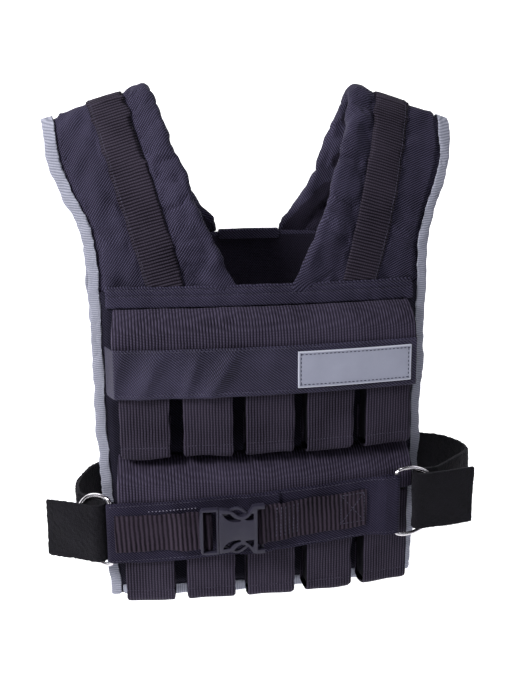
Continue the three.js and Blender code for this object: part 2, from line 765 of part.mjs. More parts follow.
// Belt: two bands that overlap under the buckle, each folded round a ring's bar
const beltTop = BELT_LAP - LOWER_BAND_DROP - LOWER_BAND_HEIGHT;
const beltMiddle = beltTop - BELT_HEIGHT / 2;
const lapLift = beltLift + BELT_THICKNESS + GAP;
const sleeveRadius = RING_WIRE / 2 + GAP + BELT_THICKNESS / 2;
const ringLeftX = -loopsEdge - RING_LEFT_OUT;
const ringRightX = loopsEdge - RING_RIGHT_IN;
const ringLeftBar = faceBar(ringLeftX, beltLift - sleeveRadius);
const ringRightBar = faceBar(ringRightX, beltLift + sleeveRadius);

const leftBeltLine = [
  ...faceLine(BELT_LEFT_END, BELT_RIGHT_END - 1, lapLift, 2),
  ...faceLine(BELT_RIGHT_END - BELT_STEP, ringLeftX + sleeveRadius, beltLift, 8),
  ...foldRoundBar(ringLeftBar, sleeveRadius, -1),
  facePoint(ringLeftX + BELT_THICKNESS, beltLift - 2 * sleeveRadius),
];
const rightBeltLine = [
  ...faceLine(BELT_RIGHT_END, ringRightX - 2 * SLEEVE_LAP, beltLift, 6),
  facePoint(ringRightX - 1.4 * SLEEVE_LAP, beltLift + sleeveRadius / 2),
  facePoint(ringRightX - 0.8 * SLEEVE_LAP, beltLift + 1.8 * sleeveRadius),
  ...foldRoundBar(ringRightBar, sleeveRadius, 1),
  facePoint(ringRightX - SLEEVE_LAP, beltLift),
];

function beltGeometry(line) {
  return ribbonGeometry(line, BELT_THICKNESS, beltTop - BELT_HEIGHT, beltTop);
}

addMesh('belt_band_left', beltGeometry(leftBeltLine), TWILL);
addMesh('belt_band_right', beltGeometry(rightBeltLine), TWILL);

// Buckle: its own frame lies flat in front of the belt, with +X along it and -Y facing out
const webbingRise = (BELT_THICKNESS + WEBBING_THICKNESS) / 2 + GAP;
const webbingLift = lapLift + webbingRise;
const layerStep = WEBBING_THICKNESS + GAP;
const buckleLift = webbingLift + layerStep + WEBBING_THICKNESS / 2 + GAP;
const barRadius = BUCKLE_BAR / 2;
const barFold = barRadius + GAP + WEBBING_THICKNESS / 2;
const buckleMiddle = BUCKLE_LEFT + BUCKLE_LENGTH / 2;
const buckleOrigin = facePoint(buckleMiddle, buckleLift);
const buckleFlat = faceFrame(buckleMiddle).flat;
const buckleYaw = Math.atan2(buckleFlat.y, buckleFlat.x) + Math.PI / 2;
const buckleHalf = BUCKLE_HEIGHT / 2;
const slotHalf = (BELT_WEBBING_WIDTH + BELT_SLOPE * BUCKLE_LENGTH) / 2 + GAP;

// Each bar stands as far behind the buckle's back as lets the webbing's inner layer lie on the belt
const barSink = buckleLift - webbingLift - barFold;

function buckleBar(along) {
  const offset = new THREE.Vector2(along - BUCKLE_LENGTH / 2, barSink);
  offset.rotateAround(new THREE.Vector2(), buckleYaw);
  return { centre: buckleOrigin.clone().add(offset), front: buckleYaw - Math.PI / 2 };
}

function solidOf(geometry) {
  const bare = geometry.clone();
  bare.deleteAttribute('normal');
  bare.deleteAttribute('uv');
  const merged = mergeVertices(bare, 1e-4);
  return new wasm.Manifold(new wasm.Mesh({
    numProp: 3,
    vertProperties: merged.attributes.position.array,
    triVerts: new Uint32Array(merged.index.array),
  }));
}

function geometryOf(solid) {
  const mesh = solid.getMesh();
  const geometry = new THREE.BufferGeometry();
  geometry.setAttribute('position', new THREE.BufferAttribute(mesh.vertProperties, 3));
  geometry.setIndex(new THREE.BufferAttribute(mesh.triVerts, 1));
  geometry.computeVertexNormals();
  return geometry;
}

// Place in the buckle's outline, from shares of its length and half its height
function bucklePlace({ along, up }, sign) {
  return new THREE.Vector2((along - 0.5) * BUCKLE_LENGTH, sign * up * buckleHalf);
}

// Curves through a table of rows: a start, then pairs of a control point and an end
function rowsPath(rows, sign) {
  const start = bucklePlace(rows[0], sign);
  const path = new THREE.Path().moveTo(start.x, start.y);
  for (let i = 1; i + 1 < rows.length; i += 2) {
    const control = bucklePlace(rows[i], sign);
    const end = bucklePlace(rows[i + 1], sign);
    path.quadraticCurveTo(control.x, control.y, end.x, end.y);
  }
  return path;
}

// Flat moulding, from its outline seen from the front, between two depths behind its front face
function moulding(shape, thickness, back = 0) {
  const geometry = new THREE.ExtrudeGeometry(shape, { depth: thickness, bevelEnabled: false, curveSegments: 4 });
  return geometry.rotateX(Math.PI / 2).translate(0, -back, 0);
}

function barSolid(along, halfLength) {
  const bar = new THREE.CylinderGeometry(barRadius, barRadius, 2 * halfLength, 10);
  bar.rotateX(Math.PI / 2).translate(along - BUCKLE_LENGTH / 2, barSink, 0);
  return solidOf(bar);
}

const socketBar = BUCKLE_LENGTH - BUCKLE_BAR_PLACE / 4;
const socketEdge = socketBar - barFold - WEBBING_THICKNESS / 2 - 3 * GAP;

function socketShape() {
  const edge = socketEdge - BUCKLE_LENGTH / 2;
  const upper = rowsPath(SOCKET_EDGE, 1).getPoints(4);
  const wing = slotHalf + GAP;
  const outline = [
    ...upper,
    new THREE.Vector2(BUCKLE_LENGTH / 2, wing),
    new THREE.Vector2(edge, wing),
  ];
  const mirror = outline.map((point) => new THREE.Vector2(point.x, -point.y));
  return new THREE.Shape([...mirror, ...outline.reverse()]);
}

function armLine(sign) {
  const places = ARM_LINE.map((row) => bucklePlace(row, sign));
  return new THREE.SplineCurve(places).getPoints(12);
}

function armSolid(sign, margin) {
  const outline = ribbonOutline(armLine(sign), ARM_WIDTH + 2 * margin);
  const back = (BUCKLE_THICKNESS - ARM_DEPTH) / 2 - margin;
  return solidOf(moulding(new THREE.Shape(outline), ARM_DEPTH + 2 * margin, back));
}

function frameShape() {
  const left = -BUCKLE_LENGTH / 2;
  const right = left + BUCKLE_FRAME_LENGTH;
  const round = BUCKLE_RIM + 1;
  const shape = new THREE.Shape();
  shape.moveTo(right, -buckleHalf);
  shape.lineTo(right, buckleHalf);
  shape.lineTo(left + round, buckleHalf);
  shape.quadraticCurveTo(left + BUCKLE_RIM / 3, buckleHalf, left + BUCKLE_RIM / 4, buckleHalf - round);
  shape.quadraticCurveTo(left - BUCKLE_RIM / 4, 0, left + BUCKLE_RIM / 4, round - buckleHalf);
  shape.quadraticCurveTo(left + BUCKLE_RIM / 3, -buckleHalf, left + round, -buckleHalf);
  const slot = new THREE.Path();
  const slotLeft = left + BUCKLE_RIM;
  const slotRight = right - BUCKLE_RIM / 2;
  slot.moveTo(slotLeft, -slotHalf);
  slot.lineTo(slotLeft, slotHalf);
  slot.lineTo(slotRight, slotHalf);
  slot.lineTo(slotRight, -slotHalf);
  slot.closePath();
  shape.holes.push(slot);
  return shape;
}

function prongsGeometry() {
  const parts = [barSolid(BUCKLE_BAR_PLACE, buckleHalf - 1), armSolid(1, 0), armSolid(-1, 0)];
  return geometryOf(parts.reduce((sum, part) => sum.add(part), solidOf(moulding(frameShape(), BUCKLE_THICKNESS))));
}

function socketGeometry() {
  const shape = socketShape();
  [LONG_HOLE, SHORT_HOLE].forEach((rows) => shape.holes.push(rowsPath(rows, 1), rowsPath(rows, -1)));
  const body = solidOf(moulding(shape, BUCKLE_THICKNESS)).add(barSolid(socketBar, buckleHalf - 1));
  return geometryOf(body.subtract(armSolid(1, GAP)).subtract(armSolid(-1, GAP)));
}

[['buckle_prongs', prongsGeometry()], ['buckle_socket', socketGeometry()]].forEach(([name, geometry]) => {
  const mesh = addMesh(name, geometry, PLASTIC);
  mesh.position.set(buckleOrigin.x, buckleOrigin.y, beltMiddle + BELT_SLOPE * buckleOrigin.x);
  mesh.rotation.z = buckleYaw;
});

// Belt webbing, folded round the buckle's two bars
const prongsBarX = BUCKLE_LEFT + BUCKLE_BAR_PLACE;
const lowLift = beltLift + webbingRise;
const innerLayer = barFold + WEBBING_LAP;
const leftWebbingLine = [
  ...faceLine(ringLeftX + sleeveRadius, prongsBarX - innerLayer - 2 * WEBBING_STEP, lowLift, 5),
  facePoint(prongsBarX - innerLayer - WEBBING_THICKNESS, webbingLift + layerStep),
  facePoint(BUCKLE_LEFT + BUCKLE_RIM + WEBBING_THICKNESS, webbingLift + layerStep),
  ...foldRoundBar(buckleBar(BUCKLE_BAR_PLACE), barFold, 1, Math.PI / 4),
  facePoint(prongsBarX - innerLayer, webbingLift),
];
const rightWebbingLine = [
  facePoint(BELT_LEFT_END - GAP, webbingLift),
  ...foldRoundBar(buckleBar(socketBar), barFold, -1, Math.PI / 6).reverse(),
  facePoint(BUCKLE_LEFT + BUCKLE_LENGTH + 2 * WEBBING_THICKNESS, webbingLift + layerStep),
  facePoint(BELT_LEFT_END + WEBBING_THICKNESS, webbingLift + layerStep),
  ...faceLine(BELT_LEFT_END + 2 * WEBBING_STEP, BELT_WEBBING_END, lowLift, 5),
];

function beltWebbingGeometry(line) {
  const half = BELT_WEBBING_WIDTH / 2;
  return ribbonGeometry(line, WEBBING_THICKNESS, beltMiddle - half, beltMiddle + half);
}

addMesh('belt_webbing_left', beltWebbingGeometry(leftWebbingLine), WEBBING);
addMesh('belt_webbing_right', beltWebbingGeometry(rightWebbingLine), WEBBING);

// Ring: round wire along a D, its straight bar on the Z axis and its bow towards +X
function ringGeometry() {
  const bar = RING_BAR_HEIGHT / 2;
  const bow = (RING_BOW_HEIGHT - RING_WIRE) / 2;
  const near = RING_DEPTH / 4;
  const line = new THREE.Path();
  line.moveTo(0, -bar);
  line.lineTo(0, bar);
  line.bezierCurveTo(0, lerp(bar, bow, 0.7), near / 3, bow, near, bow);
  line.bezierCurveTo(0.7 * RING_DEPTH, bow, RING_DEPTH, 0.6 * bow, RING_DEPTH, 0);
  line.bezierCurveTo(RING_DEPTH, -0.6 * bow, 0.7 * RING_DEPTH, -bow, near, -bow);
  line.bezierCurveTo(near / 3, -bow, 0, -lerp(bar, bow, 0.7), 0, -bar);
  const places = line.getSpacedPoints(32).slice(0, -1);
  const rings = places.map((place, index) => {
    const before = places[(index + places.length - 1) % places.length];
    const after = places[(index + 1) % places.length];
    const along = after.clone().sub(before).normalize();
    return spread(0, 2 * Math.PI, 8).slice(0, -1).map((angle) => {
      const across = (Math.cos(angle) * RING_WIRE) / 2;
      return new THREE.Vector3(
        place.x - along.y * across,
        (Math.sin(angle) * RING_WIRE) / 2,
        place.y + along.x * across,
      );
    });
  });
  return loft(rings, true);
}

function addRing(name, { centre }, yaw) {
  const ring = addMesh(name, ringGeometry(), CHROME);
  ring.position.set(centre.x, centre.y, beltMiddle + BELT_SLOPE * centre.x);
  ring.rotation.z = yaw;
}

const { degToRad } = THREE.MathUtils;
addRing('ring_left', ringLeftBar, Math.PI - degToRad(RING_YAW_LEFT));
addRing('ring_right', ringRightBar, degToRad(RING_YAW_RIGHT));

// Side strap seen from above: free end, fold inside the ring, round behind the ring's bow, out in a
// bulge and back on to the back panel's face
function sideStrapLine({ side, bar, ringYaw, freeYaw, foldOut, freeLength, bulge }) {
  const direction = (yaw) => new THREE.Vector2(side * Math.cos(yaw), Math.sin(yaw));
  const free = direction(degToRad(freeYaw));
  const front = new THREE.Vector2(side * free.y, -side * free.x);
  const half = SIDE_STRAP_THICKNESS / 2;
  const centre = bar.centre.clone().addScaledVector(free, foldOut);
  const start = centre.clone().addScaledVector(front, FOLD_RADIUS);
  const frontAngle = Math.atan2(front.y, front.x);
  const fold = spread(0, Math.PI, 8).map((angle) => (
    centre.clone().add(new THREE.Vector2(FOLD_RADIUS, 0).rotateAround(new THREE.Vector2(), frontAngle - side * angle))
  ));
  const bow = bar.centre.clone().addScaledVector(direction(degToRad(ringYaw)), RING_DEPTH);
  const behindBow = bow.clone().addScaledVector(front, -(RING_WIRE / 2 + 3 * GAP + half));
  const backPath = lerp(BACK_TOP, BACK_BOTTOM, (-beltMiddle - NECK_DROP) / (BOTTOM_DROP - NECK_DROP));
  const edge = outerEdge(backPath);
  const onBack = (x) => {
    const { point, normal } = shellFrame(backPath, x);
    const lift = halfPanel + 6 * GAP + half;
    return new THREE.Vector2(side * (point.x + normal.x * lift), point.y + normal.y * lift);
  };
  const tip = onBack(edge + TAPE_WIDTH);
  const route = new THREE.SplineCurve([
    behindBow,
    new THREE.Vector2(side * (edge + bulge), lerp(bow.y, tip.y, 0.35)),
    new THREE.Vector2(side * (edge + 0.8 * bulge), lerp(bow.y, tip.y, 0.75)),
    tip,
    onBack(edge - SIDE_STRAP_LAP / 2),
    onBack(edge - SIDE_STRAP_LAP),
  ]);
  return [start.clone().addScaledVector(free, freeLength), ...fold, ...route.getPoints(24)];
}

function addSideStrap(name, line) {
  const half = SIDE_STRAP_HEIGHT / 2;
  addMesh(name, ribbonGeometry(line, SIDE_STRAP_THICKNESS, beltMiddle - half, beltMiddle + half), FLEECE);
}

addSideStrap('side_strap_left', sideStrapLine({
  side: -1,
  bar: ringLeftBar,
  ringYaw: RING_YAW_LEFT,
  freeYaw: FREE_YAW_LEFT,
  foldOut: FOLD_OUT_LEFT,
  freeLength: FREE_LENGTH_LEFT,
  bulge: STRAP_BULGE_LEFT,
}));
addSideStrap('side_strap_right', sideStrapLine({
  side: 1,
  bar: ringRightBar,
  ringYaw: RING_YAW_RIGHT,
  freeYaw: FREE_YAW_RIGHT,
  foldOut: FOLD_OUT_RIGHT,
  freeLength: FREE_LENGTH_RIGHT,
  bulge: STRAP_BULGE_RIGHT,
}));

export default vest;
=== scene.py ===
"""A weighted vest, held up by its shoulder straps, dressed in cloth, webbing, thread and metal.

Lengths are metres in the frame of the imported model: +Z is up and the vest's front faces -Y.
"""

import sys

import logging
import math
from dataclasses import dataclass, field
from enum import Enum
from functools import cache
from typing import Sequence

import bmesh
import bpy
import numpy as np
from mathutils import Matrix, Vector
from mathutils.bvhtree import BVHTree


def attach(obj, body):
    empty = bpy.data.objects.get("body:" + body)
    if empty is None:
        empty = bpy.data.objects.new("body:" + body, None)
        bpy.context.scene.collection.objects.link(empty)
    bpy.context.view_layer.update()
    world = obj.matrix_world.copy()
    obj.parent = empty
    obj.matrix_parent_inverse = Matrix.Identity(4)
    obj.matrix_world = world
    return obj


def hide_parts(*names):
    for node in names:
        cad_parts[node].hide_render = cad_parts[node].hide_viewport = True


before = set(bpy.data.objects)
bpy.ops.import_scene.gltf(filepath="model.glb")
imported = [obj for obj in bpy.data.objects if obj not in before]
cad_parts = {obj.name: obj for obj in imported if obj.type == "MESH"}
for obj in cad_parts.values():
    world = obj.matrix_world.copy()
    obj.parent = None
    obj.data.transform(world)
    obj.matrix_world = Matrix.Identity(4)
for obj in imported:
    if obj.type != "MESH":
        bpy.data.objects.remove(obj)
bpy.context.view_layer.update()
LOG = logging.getLogger("vest")

TURN = 2 * math.pi
BODY = "root"
GLUE = 1e-6
SHOULDER_PIVOT = (-0.02, -0.19)
FLAT_DEGREES = 0.7
FROM_FRONT = Vector((0, -0.4, 0))
FROM_BEHIND = Vector((0, 0.4, 0))

# Sizes and shares of what the cloth finishes draw
WOBBLE_SIZE, WOBBLE_SHARE = 0.012, 0.35
TWILL_RUN, TWILL_RISE = 0.64, 0.77
NET_LEAN = 0.8
FUZZ_SIZE = 0.0011
DRIFT_SIZE = 0.045

Colour = tuple[float, float, float, float]


class Side(Enum):
    """The vest's left and right as the camera sees them."""

    LEFT = -1
    RIGHT = 1

    @property
    def word(self) -> str:
        """The side's name in the names of the pieces."""
        return self.name.lower()


class Face(Enum):
    """The two panels of the vest."""

    FRONT = "front"
    BACK = "back"


class Weave(Enum):
    """How the threads of a cloth cross."""

    TWILL = "twill"
    RIB = "rib"
    NET = "net"


def shade(red: float, green: float, blue: float) -> Colour:
    """Turns a colour as a screen shows it, 0 to 255, into the linear one that shaders take.

    Args:
        red: Red share of 255.
        green: Green share of 255.
        blue: Blue share of 255.

    Returns:
        The linear colour with an alpha of 1.
    """
    linear = [((part / 255 + 0.055) / 1.055) ** 2.4 if part > 10 else part / 255 / 12.92
              for part in (red, green, blue)]
    return (linear[0], linear[1], linear[2], 1.0)


class Wire:
    """A value out of a shader socket. Arithmetic on wires adds Math nodes."""

    def __init__(self, loom: "Loom", socket: bpy.types.NodeSocket) -> None:
        """Keeps the socket and the tree that it belongs to."""
        self.loom = loom
        self.socket = socket

    def math(self, operation: str, *values: "Wire | float", clamp: bool = False) -> "Wire":
        """Adds a Math node.

        Args:
            operation: The node's operation.
            values: What goes into its sockets, in order.
            clamp: Whether the result is kept from 0 to 1.

        Returns:
            The node's result.
        """
        settings = {"operation": operation, "use_clamp": clamp}
        return self.loom.node("ShaderNodeMath", settings, dict(enumerate(values)))

    def __add__(self, other: "Wire | float") -> "Wire":
        """Sum."""
        return self.math("ADD", self, other)

    __radd__ = __add__

    def __sub__(self, other: "Wire | float") -> "Wire":
        """Difference."""
        return self.math("SUBTRACT", self, other)

    def __rsub__(self, other: float) -> "Wire":
        """Difference from a number."""
        return self.math("SUBTRACT", other, self)

    def __mul__(self, other: "Wire | float") -> "Wire":
        """Product."""
        return self.math("MULTIPLY", self, other)

    __rmul__ = __mul__

    def size(self) -> "Wire":
        """Absolute value."""
        return self.math("ABSOLUTE", self)

    def lower(self, other: "Wire | float") -> "Wire":
        """The lower of two values."""
        return self.math("MINIMUM", self, other)

    def clipped(self) -> "Wire":
        """The value kept from 0 to 1."""
        return self.math("ADD", self, 0.0, clamp=True)

    def wave(self, pitch: float) -> "Wire":
        """A smooth wave of that pitch, from 0 to 1."""
        return self.math("SINE", self * (TURN / pitch)) * 0.5 + 0.5


class Loom:
    """Builds one material's shader tree."""

    def __init__(self, name: str) -> None:
        """Makes an empty material of that name."""
        self.material = bpy.data.materials.new(name)
        self.material.use_nodes = True
        self.tree = self.material.node_tree
        self.tree.nodes.clear()

    def node(self, kind: str, settings: dict | None = None, inputs: dict | None = None,
             output: int | str = 0) -> Wire:
        """Adds any node.

        Args:
            kind: The node's type.
            settings: Its properties, set first.
            inputs: Values or wires by socket name or number.
            output: The socket that is returned.

        Returns:
            One of the node's outputs.
        """
        made = self.tree.nodes.new(kind)
        for key, value in (settings or {}).items():
            setattr(made, key, value)
        for key, value in (inputs or {}).items():
            if isinstance(value, Wire):
                self.tree.links.new(value.socket, made.inputs[key])
            else:
                made.inputs[key].default_value = value
        return Wire(self, made.outputs[output])

    def blend(self, share: Wire | float, first: Colour | Wire, second: Colour | Wire) -> Wire:
        """Mixes two colours, the second by that share."""
        return self.node("ShaderNodeMix", {"data_type": "RGBA"}, {0: share, 6: first, 7: second}, 2)

    def speckle(self, size: float, detail: float = 2.0,
                stretch: tuple[float, float, float] = (1, 1, 1)) -> Wire:
        """Adds noise in the object's own space.

        Args:
            size: Size of the noise in metres.
            detail: Octaves of finer noise.
            stretch: Factors on the three directions.

        Returns:
            The noise, from 0 to 1.
        """
        place = self.node("ShaderNodeTexCoord", output="Object")
        scaled = self.node("ShaderNodeVectorMath", {"operation": "MULTIPLY"}, {0: place, 1: stretch})
        inputs = {"Vector": scaled, "Scale": 1 / size, "Detail": detail}
        return self.node("ShaderNodeTexNoise", {}, inputs)

    def lay(self) -> tuple[Wire, Wire]:
        """The cloth's own coordinates in metres: across the piece and along it."""
        stored = self.node("ShaderNodeAttribute", {"attribute_name": "lay"}, output="Vector")
        split = self.node("ShaderNodeSeparateXYZ", {}, {0: stored}, "X")
        return split, Wire(self, split.socket.node.outputs["Y"])

    def finish(self, inputs: dict, relief: Wire | None = None,
               depth: float = 0.0) -> bpy.types.Material:
        """Closes the tree with its surface shader.

        Args:
            inputs: Values or wires of the Principled shader.
            relief: Height from 0 to 1 that the Bump node reads.
            depth: What a height of 1 is in metres.

        Returns:
            The material.
        """
        if relief is not None:
            bump = {"Height": relief, "Distance": depth, "Strength": 1.0}
            inputs = {**inputs, "Normal": self.node("ShaderNodeBump", {}, bump)}
        surface = self.node("ShaderNodeBsdfPrincipled", {}, inputs)
        output = self.tree.nodes.new("ShaderNodeOutputMaterial")
        self.tree.links.new(surface.socket, output.inputs["Surface"])
        return self.material


@dataclass(frozen=True)
class Finish:
    """How a surface looks, between a dark and a light colour."""

    name: str
    dark: Colour
    light: Colour

    def surface(self, loom: Loom) -> bpy.types.Material:
        """Draws the finish in an empty material."""
        raise NotImplementedError

    @cache
    def material(self) -> bpy.types.Material:
        """Makes the finish's material once."""
        return self.surface(Loom(self.name))


@dataclass(frozen=True)
class Cloth(Finish):
    """A woven cloth, drawn from its threads."""

    weave: Weave
    pitch: float
    pick: float
    depth: float = 0.0006
    contrast: float = 0.95
    mottle: float = 0.25
    sheen: float = 0.03
    roughness: float = 0.74
    gloss: float = 0.06

    def _threads(self, loom: Loom, across: Wire, along: Wire) -> Wire:
        """Height of the threads, from 0 to 1."""
        wobble = loom.speckle(WOBBLE_SIZE, 2.0) * (WOBBLE_SHARE * self.pitch)
        if self.weave is Weave.TWILL:
            ridge = (across * TWILL_RUN + along * TWILL_RISE + wobble).wave(self.pitch)
            yarn = (across * TWILL_RISE - along * TWILL_RUN).wave(self.pick)
            return ridge * (yarn * 0.6 + 0.4)
        if self.weave is Weave.RIB:
            ridge = (across + wobble).wave(self.pitch)
            yarn = (along + ridge * (0.5 * self.pick)).wave(self.pick)
            return ridge * (yarn * 0.45 + 0.55)
        first = (across + along * NET_LEAN).wave(self.pitch) * 2 - 1
        second = (across - along * NET_LEAN).wave(self.pitch) * 2 - 1
        return 1 - first.size().lower(second.size())

    def surface(self, loom: Loom) -> bpy.types.Material:
        """Draws the cloth.

        Args:
            loom: Where it is drawn.

        Returns:
            The material.
        """
        across, along = loom.lay()
        threads = self._threads(loom, across, along)
        fuzz = loom.speckle(FUZZ_SIZE, 3.0)
        drift = loom.speckle(DRIFT_SIZE, 2.0)
        light = threads * self.contrast + fuzz * self.mottle + (drift - 0.5) * 0.5
        colour = loom.blend(light.clipped(), self.dark, self.light)
        inputs = {
            "Base Color": colour,
            "Roughness": (self.roughness + 0.08 - threads * 0.12).clipped(),
            "Sheen Weight": self.sheen,
            "Sheen Roughness": 0.45,
            "Sheen Tint": (0.72, 0.7, 0.85, 1.0),
            "Specular IOR Level": self.gloss,
        }
        return loom.finish(inputs, threads * 0.8 + fuzz * 0.35, self.depth)


@dataclass(frozen=True)
class Pile(Finish):
    """A brushed or felted cloth with no visible threads."""

    grain: float
    depth: float

    def surface(self, loom: Loom) -> bpy.types.Material:
        """Draws the pile.

        Args:
            loom: Where it is drawn.

        Returns:
            The material.
        """
        fibres = loom.speckle(self.grain, 5.0)
        tufts = loom.speckle(self.grain * 16, 2.0)
        light = (fibres - 0.35) * 1.3 + (tufts - 0.5) * 0.4
        inputs = {
            "Base Color": loom.blend(light.clipped(), self.dark, self.light),
            "Roughness": 0.95,
            "Sheen Weight": 0.04,
            "Sheen Roughness": 0.6,
            "Sheen Tint": (0.6, 0.58, 0.7, 1.0),
            "Specular IOR Level": 0.2,
        }
        return loom.finish(inputs, fibres, self.depth)


@dataclass(frozen=True)
class Moulding(Finish):
    """Moulded plastic or rubber with a fine grain and faint smudges."""

    roughness: float
    grain: float = 0.0007
    depth: float = 0.00008

    def surface(self, loom: Loom) -> bpy.types.Material:
        """Draws the moulding.

        Args:
            loom: Where it is drawn.

        Returns:
            The material.
        """
        grain = loom.speckle(self.grain, 2.0)
        smudge = loom.speckle(0.02, 3.0)
        inputs = {
            "Base Color": loom.blend((smudge * 0.7 + grain * 0.3).clipped(), self.dark, self.light),
            "Roughness": (smudge * 0.25 + (self.roughness - 0.12)).clipped(),
            "Specular IOR Level": 0.35,
        }
        return loom.finish(inputs, grain, self.depth)


@dataclass(frozen=True)
class Plating(Finish):
    """Bright plated steel with faint scuffs."""

    def surface(self, loom: Loom) -> bpy.types.Material:
        """Draws the plating.

        Args:
            loom: Where it is drawn.

        Returns:
            The material.
        """
        scuffs = loom.speckle(0.006, 4.0, (1, 1, 0.3))
        inputs = {
            "Base Color": loom.blend(scuffs, self.dark, self.light),
            "Metallic": 1.0,
            "Roughness": (scuffs * 0.22 + 0.08).clipped(),
        }
        return loom.finish(inputs, scuffs, 0.00006)


TWILL = Cloth("twill", shade(5, 4, 10), shade(75, 71, 94), Weave.TWILL, 0.0022, 0.0018)
SATIN_TWILL = Cloth("flap_twill", shade(4, 3, 9), shade(73, 69, 93), Weave.TWILL, 0.0022, 0.0018,
                    roughness=0.5, gloss=0.12)
BAND_RIB = Cloth("band_rib", shade(5, 4, 9), shade(74, 68, 87), Weave.RIB, 0.0031, 0.0021)
LOOP_RIB = Cloth("loop_webbing", shade(5, 4, 8), shade(69, 63, 79), Weave.RIB, 0.003, 0.0026,
                contrast=0.85)
STRAP_RIB = Cloth("strap_webbing", shade(4, 3, 7), shade(63, 57, 70), Weave.RIB, 0.0031, 0.0024)
BELT_RIB = Cloth("belt_webbing", shade(2, 2, 4), shade(64, 55, 68), Weave.RIB, 0.0047, 0.0014,
                 depth=0.0009)
BELT_TWILL = Cloth("belt_twill", shade(4, 3, 10), shade(62, 58, 80), Weave.TWILL, 0.0022, 0.0019,
                   contrast=0.7)
# A darker copy of the twill: painted shade for the front panel, which shows mostly in the gaps between
# the loops and weights.
PAINTED_SHADE_TWILL = Cloth("painted_shade_twill", shade(2, 2, 4), shade(46, 44, 60), Weave.TWILL, 0.0022, 0.0018)
NET = Cloth("lining_net", shade(4, 3, 6), shade(46, 42, 58), Weave.NET, 0.0052, 0.005,
            depth=0.0006)
SLEEVE = Cloth("weight_sleeve", shade(2, 2, 4), shade(22, 20, 30), Weave.TWILL, 0.0019, 0.0016)
TAPE = Cloth("binding_tape", shade(100, 102, 116), shade(166, 168, 182), Weave.RIB, 0.0021, 0.0015,
             depth=0.0003, mottle=0.5)
FLEECE = Pile("fleece", shade(1, 1, 3), shade(28, 26, 36), 0.0011, 0.0012)
RUBBER = Moulding("patch_rubber", shade(138, 141, 158), shade(160, 163, 180), 0.5)
# A lighter copy of the patch rubber for the raised rim: a painted highlight along the rim.
RIM_HIGHLIGHT_RUBBER = Moulding("patch_rim_highlight", shade(172, 175, 190), shade(200, 202, 215), 0.45)
PLASTIC = Moulding("buckle_plastic", shade(34, 32, 45), shade(52, 50, 66), 0.5)
CHROME = Plating("chrome", shade(160, 157, 162), shade(226, 222, 226))
THREAD = Pile("thread", shade(36, 34, 46), shade(120, 116, 140), 0.0008, 0.0002)
DARK_THREAD = Pile("dark_thread", shade(26, 24, 40), shade(70, 68, 96), 0.0008, 0.0002)
PALE_THREAD = Pile("pale_thread", shade(120, 116, 138), shade(190, 186, 204), 0.0008, 0.0002)


@dataclass(frozen=True)
class Ripple:
    """Smooth, seeded unevenness: a sum of waves of about one length in all directions."""

    length: float
    seed: int
    stretch: tuple[float, float, float] = (1.0, 1.0, 1.0)
    waves: int = 14

    def at(self, points: np.ndarray) -> np.ndarray:
        """Reads the unevenness.

        Args:
            points: Places, one row each.

        Returns:
            A value for each place, mostly from -1 to 1.
        """
        chance = np.random.default_rng(self.seed)
        ways = chance.normal(size=(self.waves, 3))
        ways /= np.linalg.norm(ways, axis=1)[:, None]
        lengths = self.length * chance.uniform(0.7, 1.5, self.waves)
        starts = chance.uniform(0, TURN, self.waves)
        turns = (points * np.array(self.stretch)) @ (ways * (TURN / lengths)[:, None]).T + starts
        return np.sin(turns).sum(axis=1) / math.sqrt(self.waves / 2) / 1.6


@dataclass(frozen=True)
class Grid:
    """Pitches at which a piece is divided along the axes, parts round the shoulder, and subdivisions."""

    x: float = 0.0
    y: float = 0.0
    z: float = 0.0
    fan: int = 0
    rounds: int = 1


def bump_at(values: np.ndarray, middle: float, width: float) -> np.ndarray:
    """A soft bump of height 1 about one value.

    Args:
        values: Where it is read.
        middle: Where it is highest.
        width: How wide it is.

    Returns:
        Its height at each value.
    """
    return np.exp(-(((values - middle) / width) ** 2))


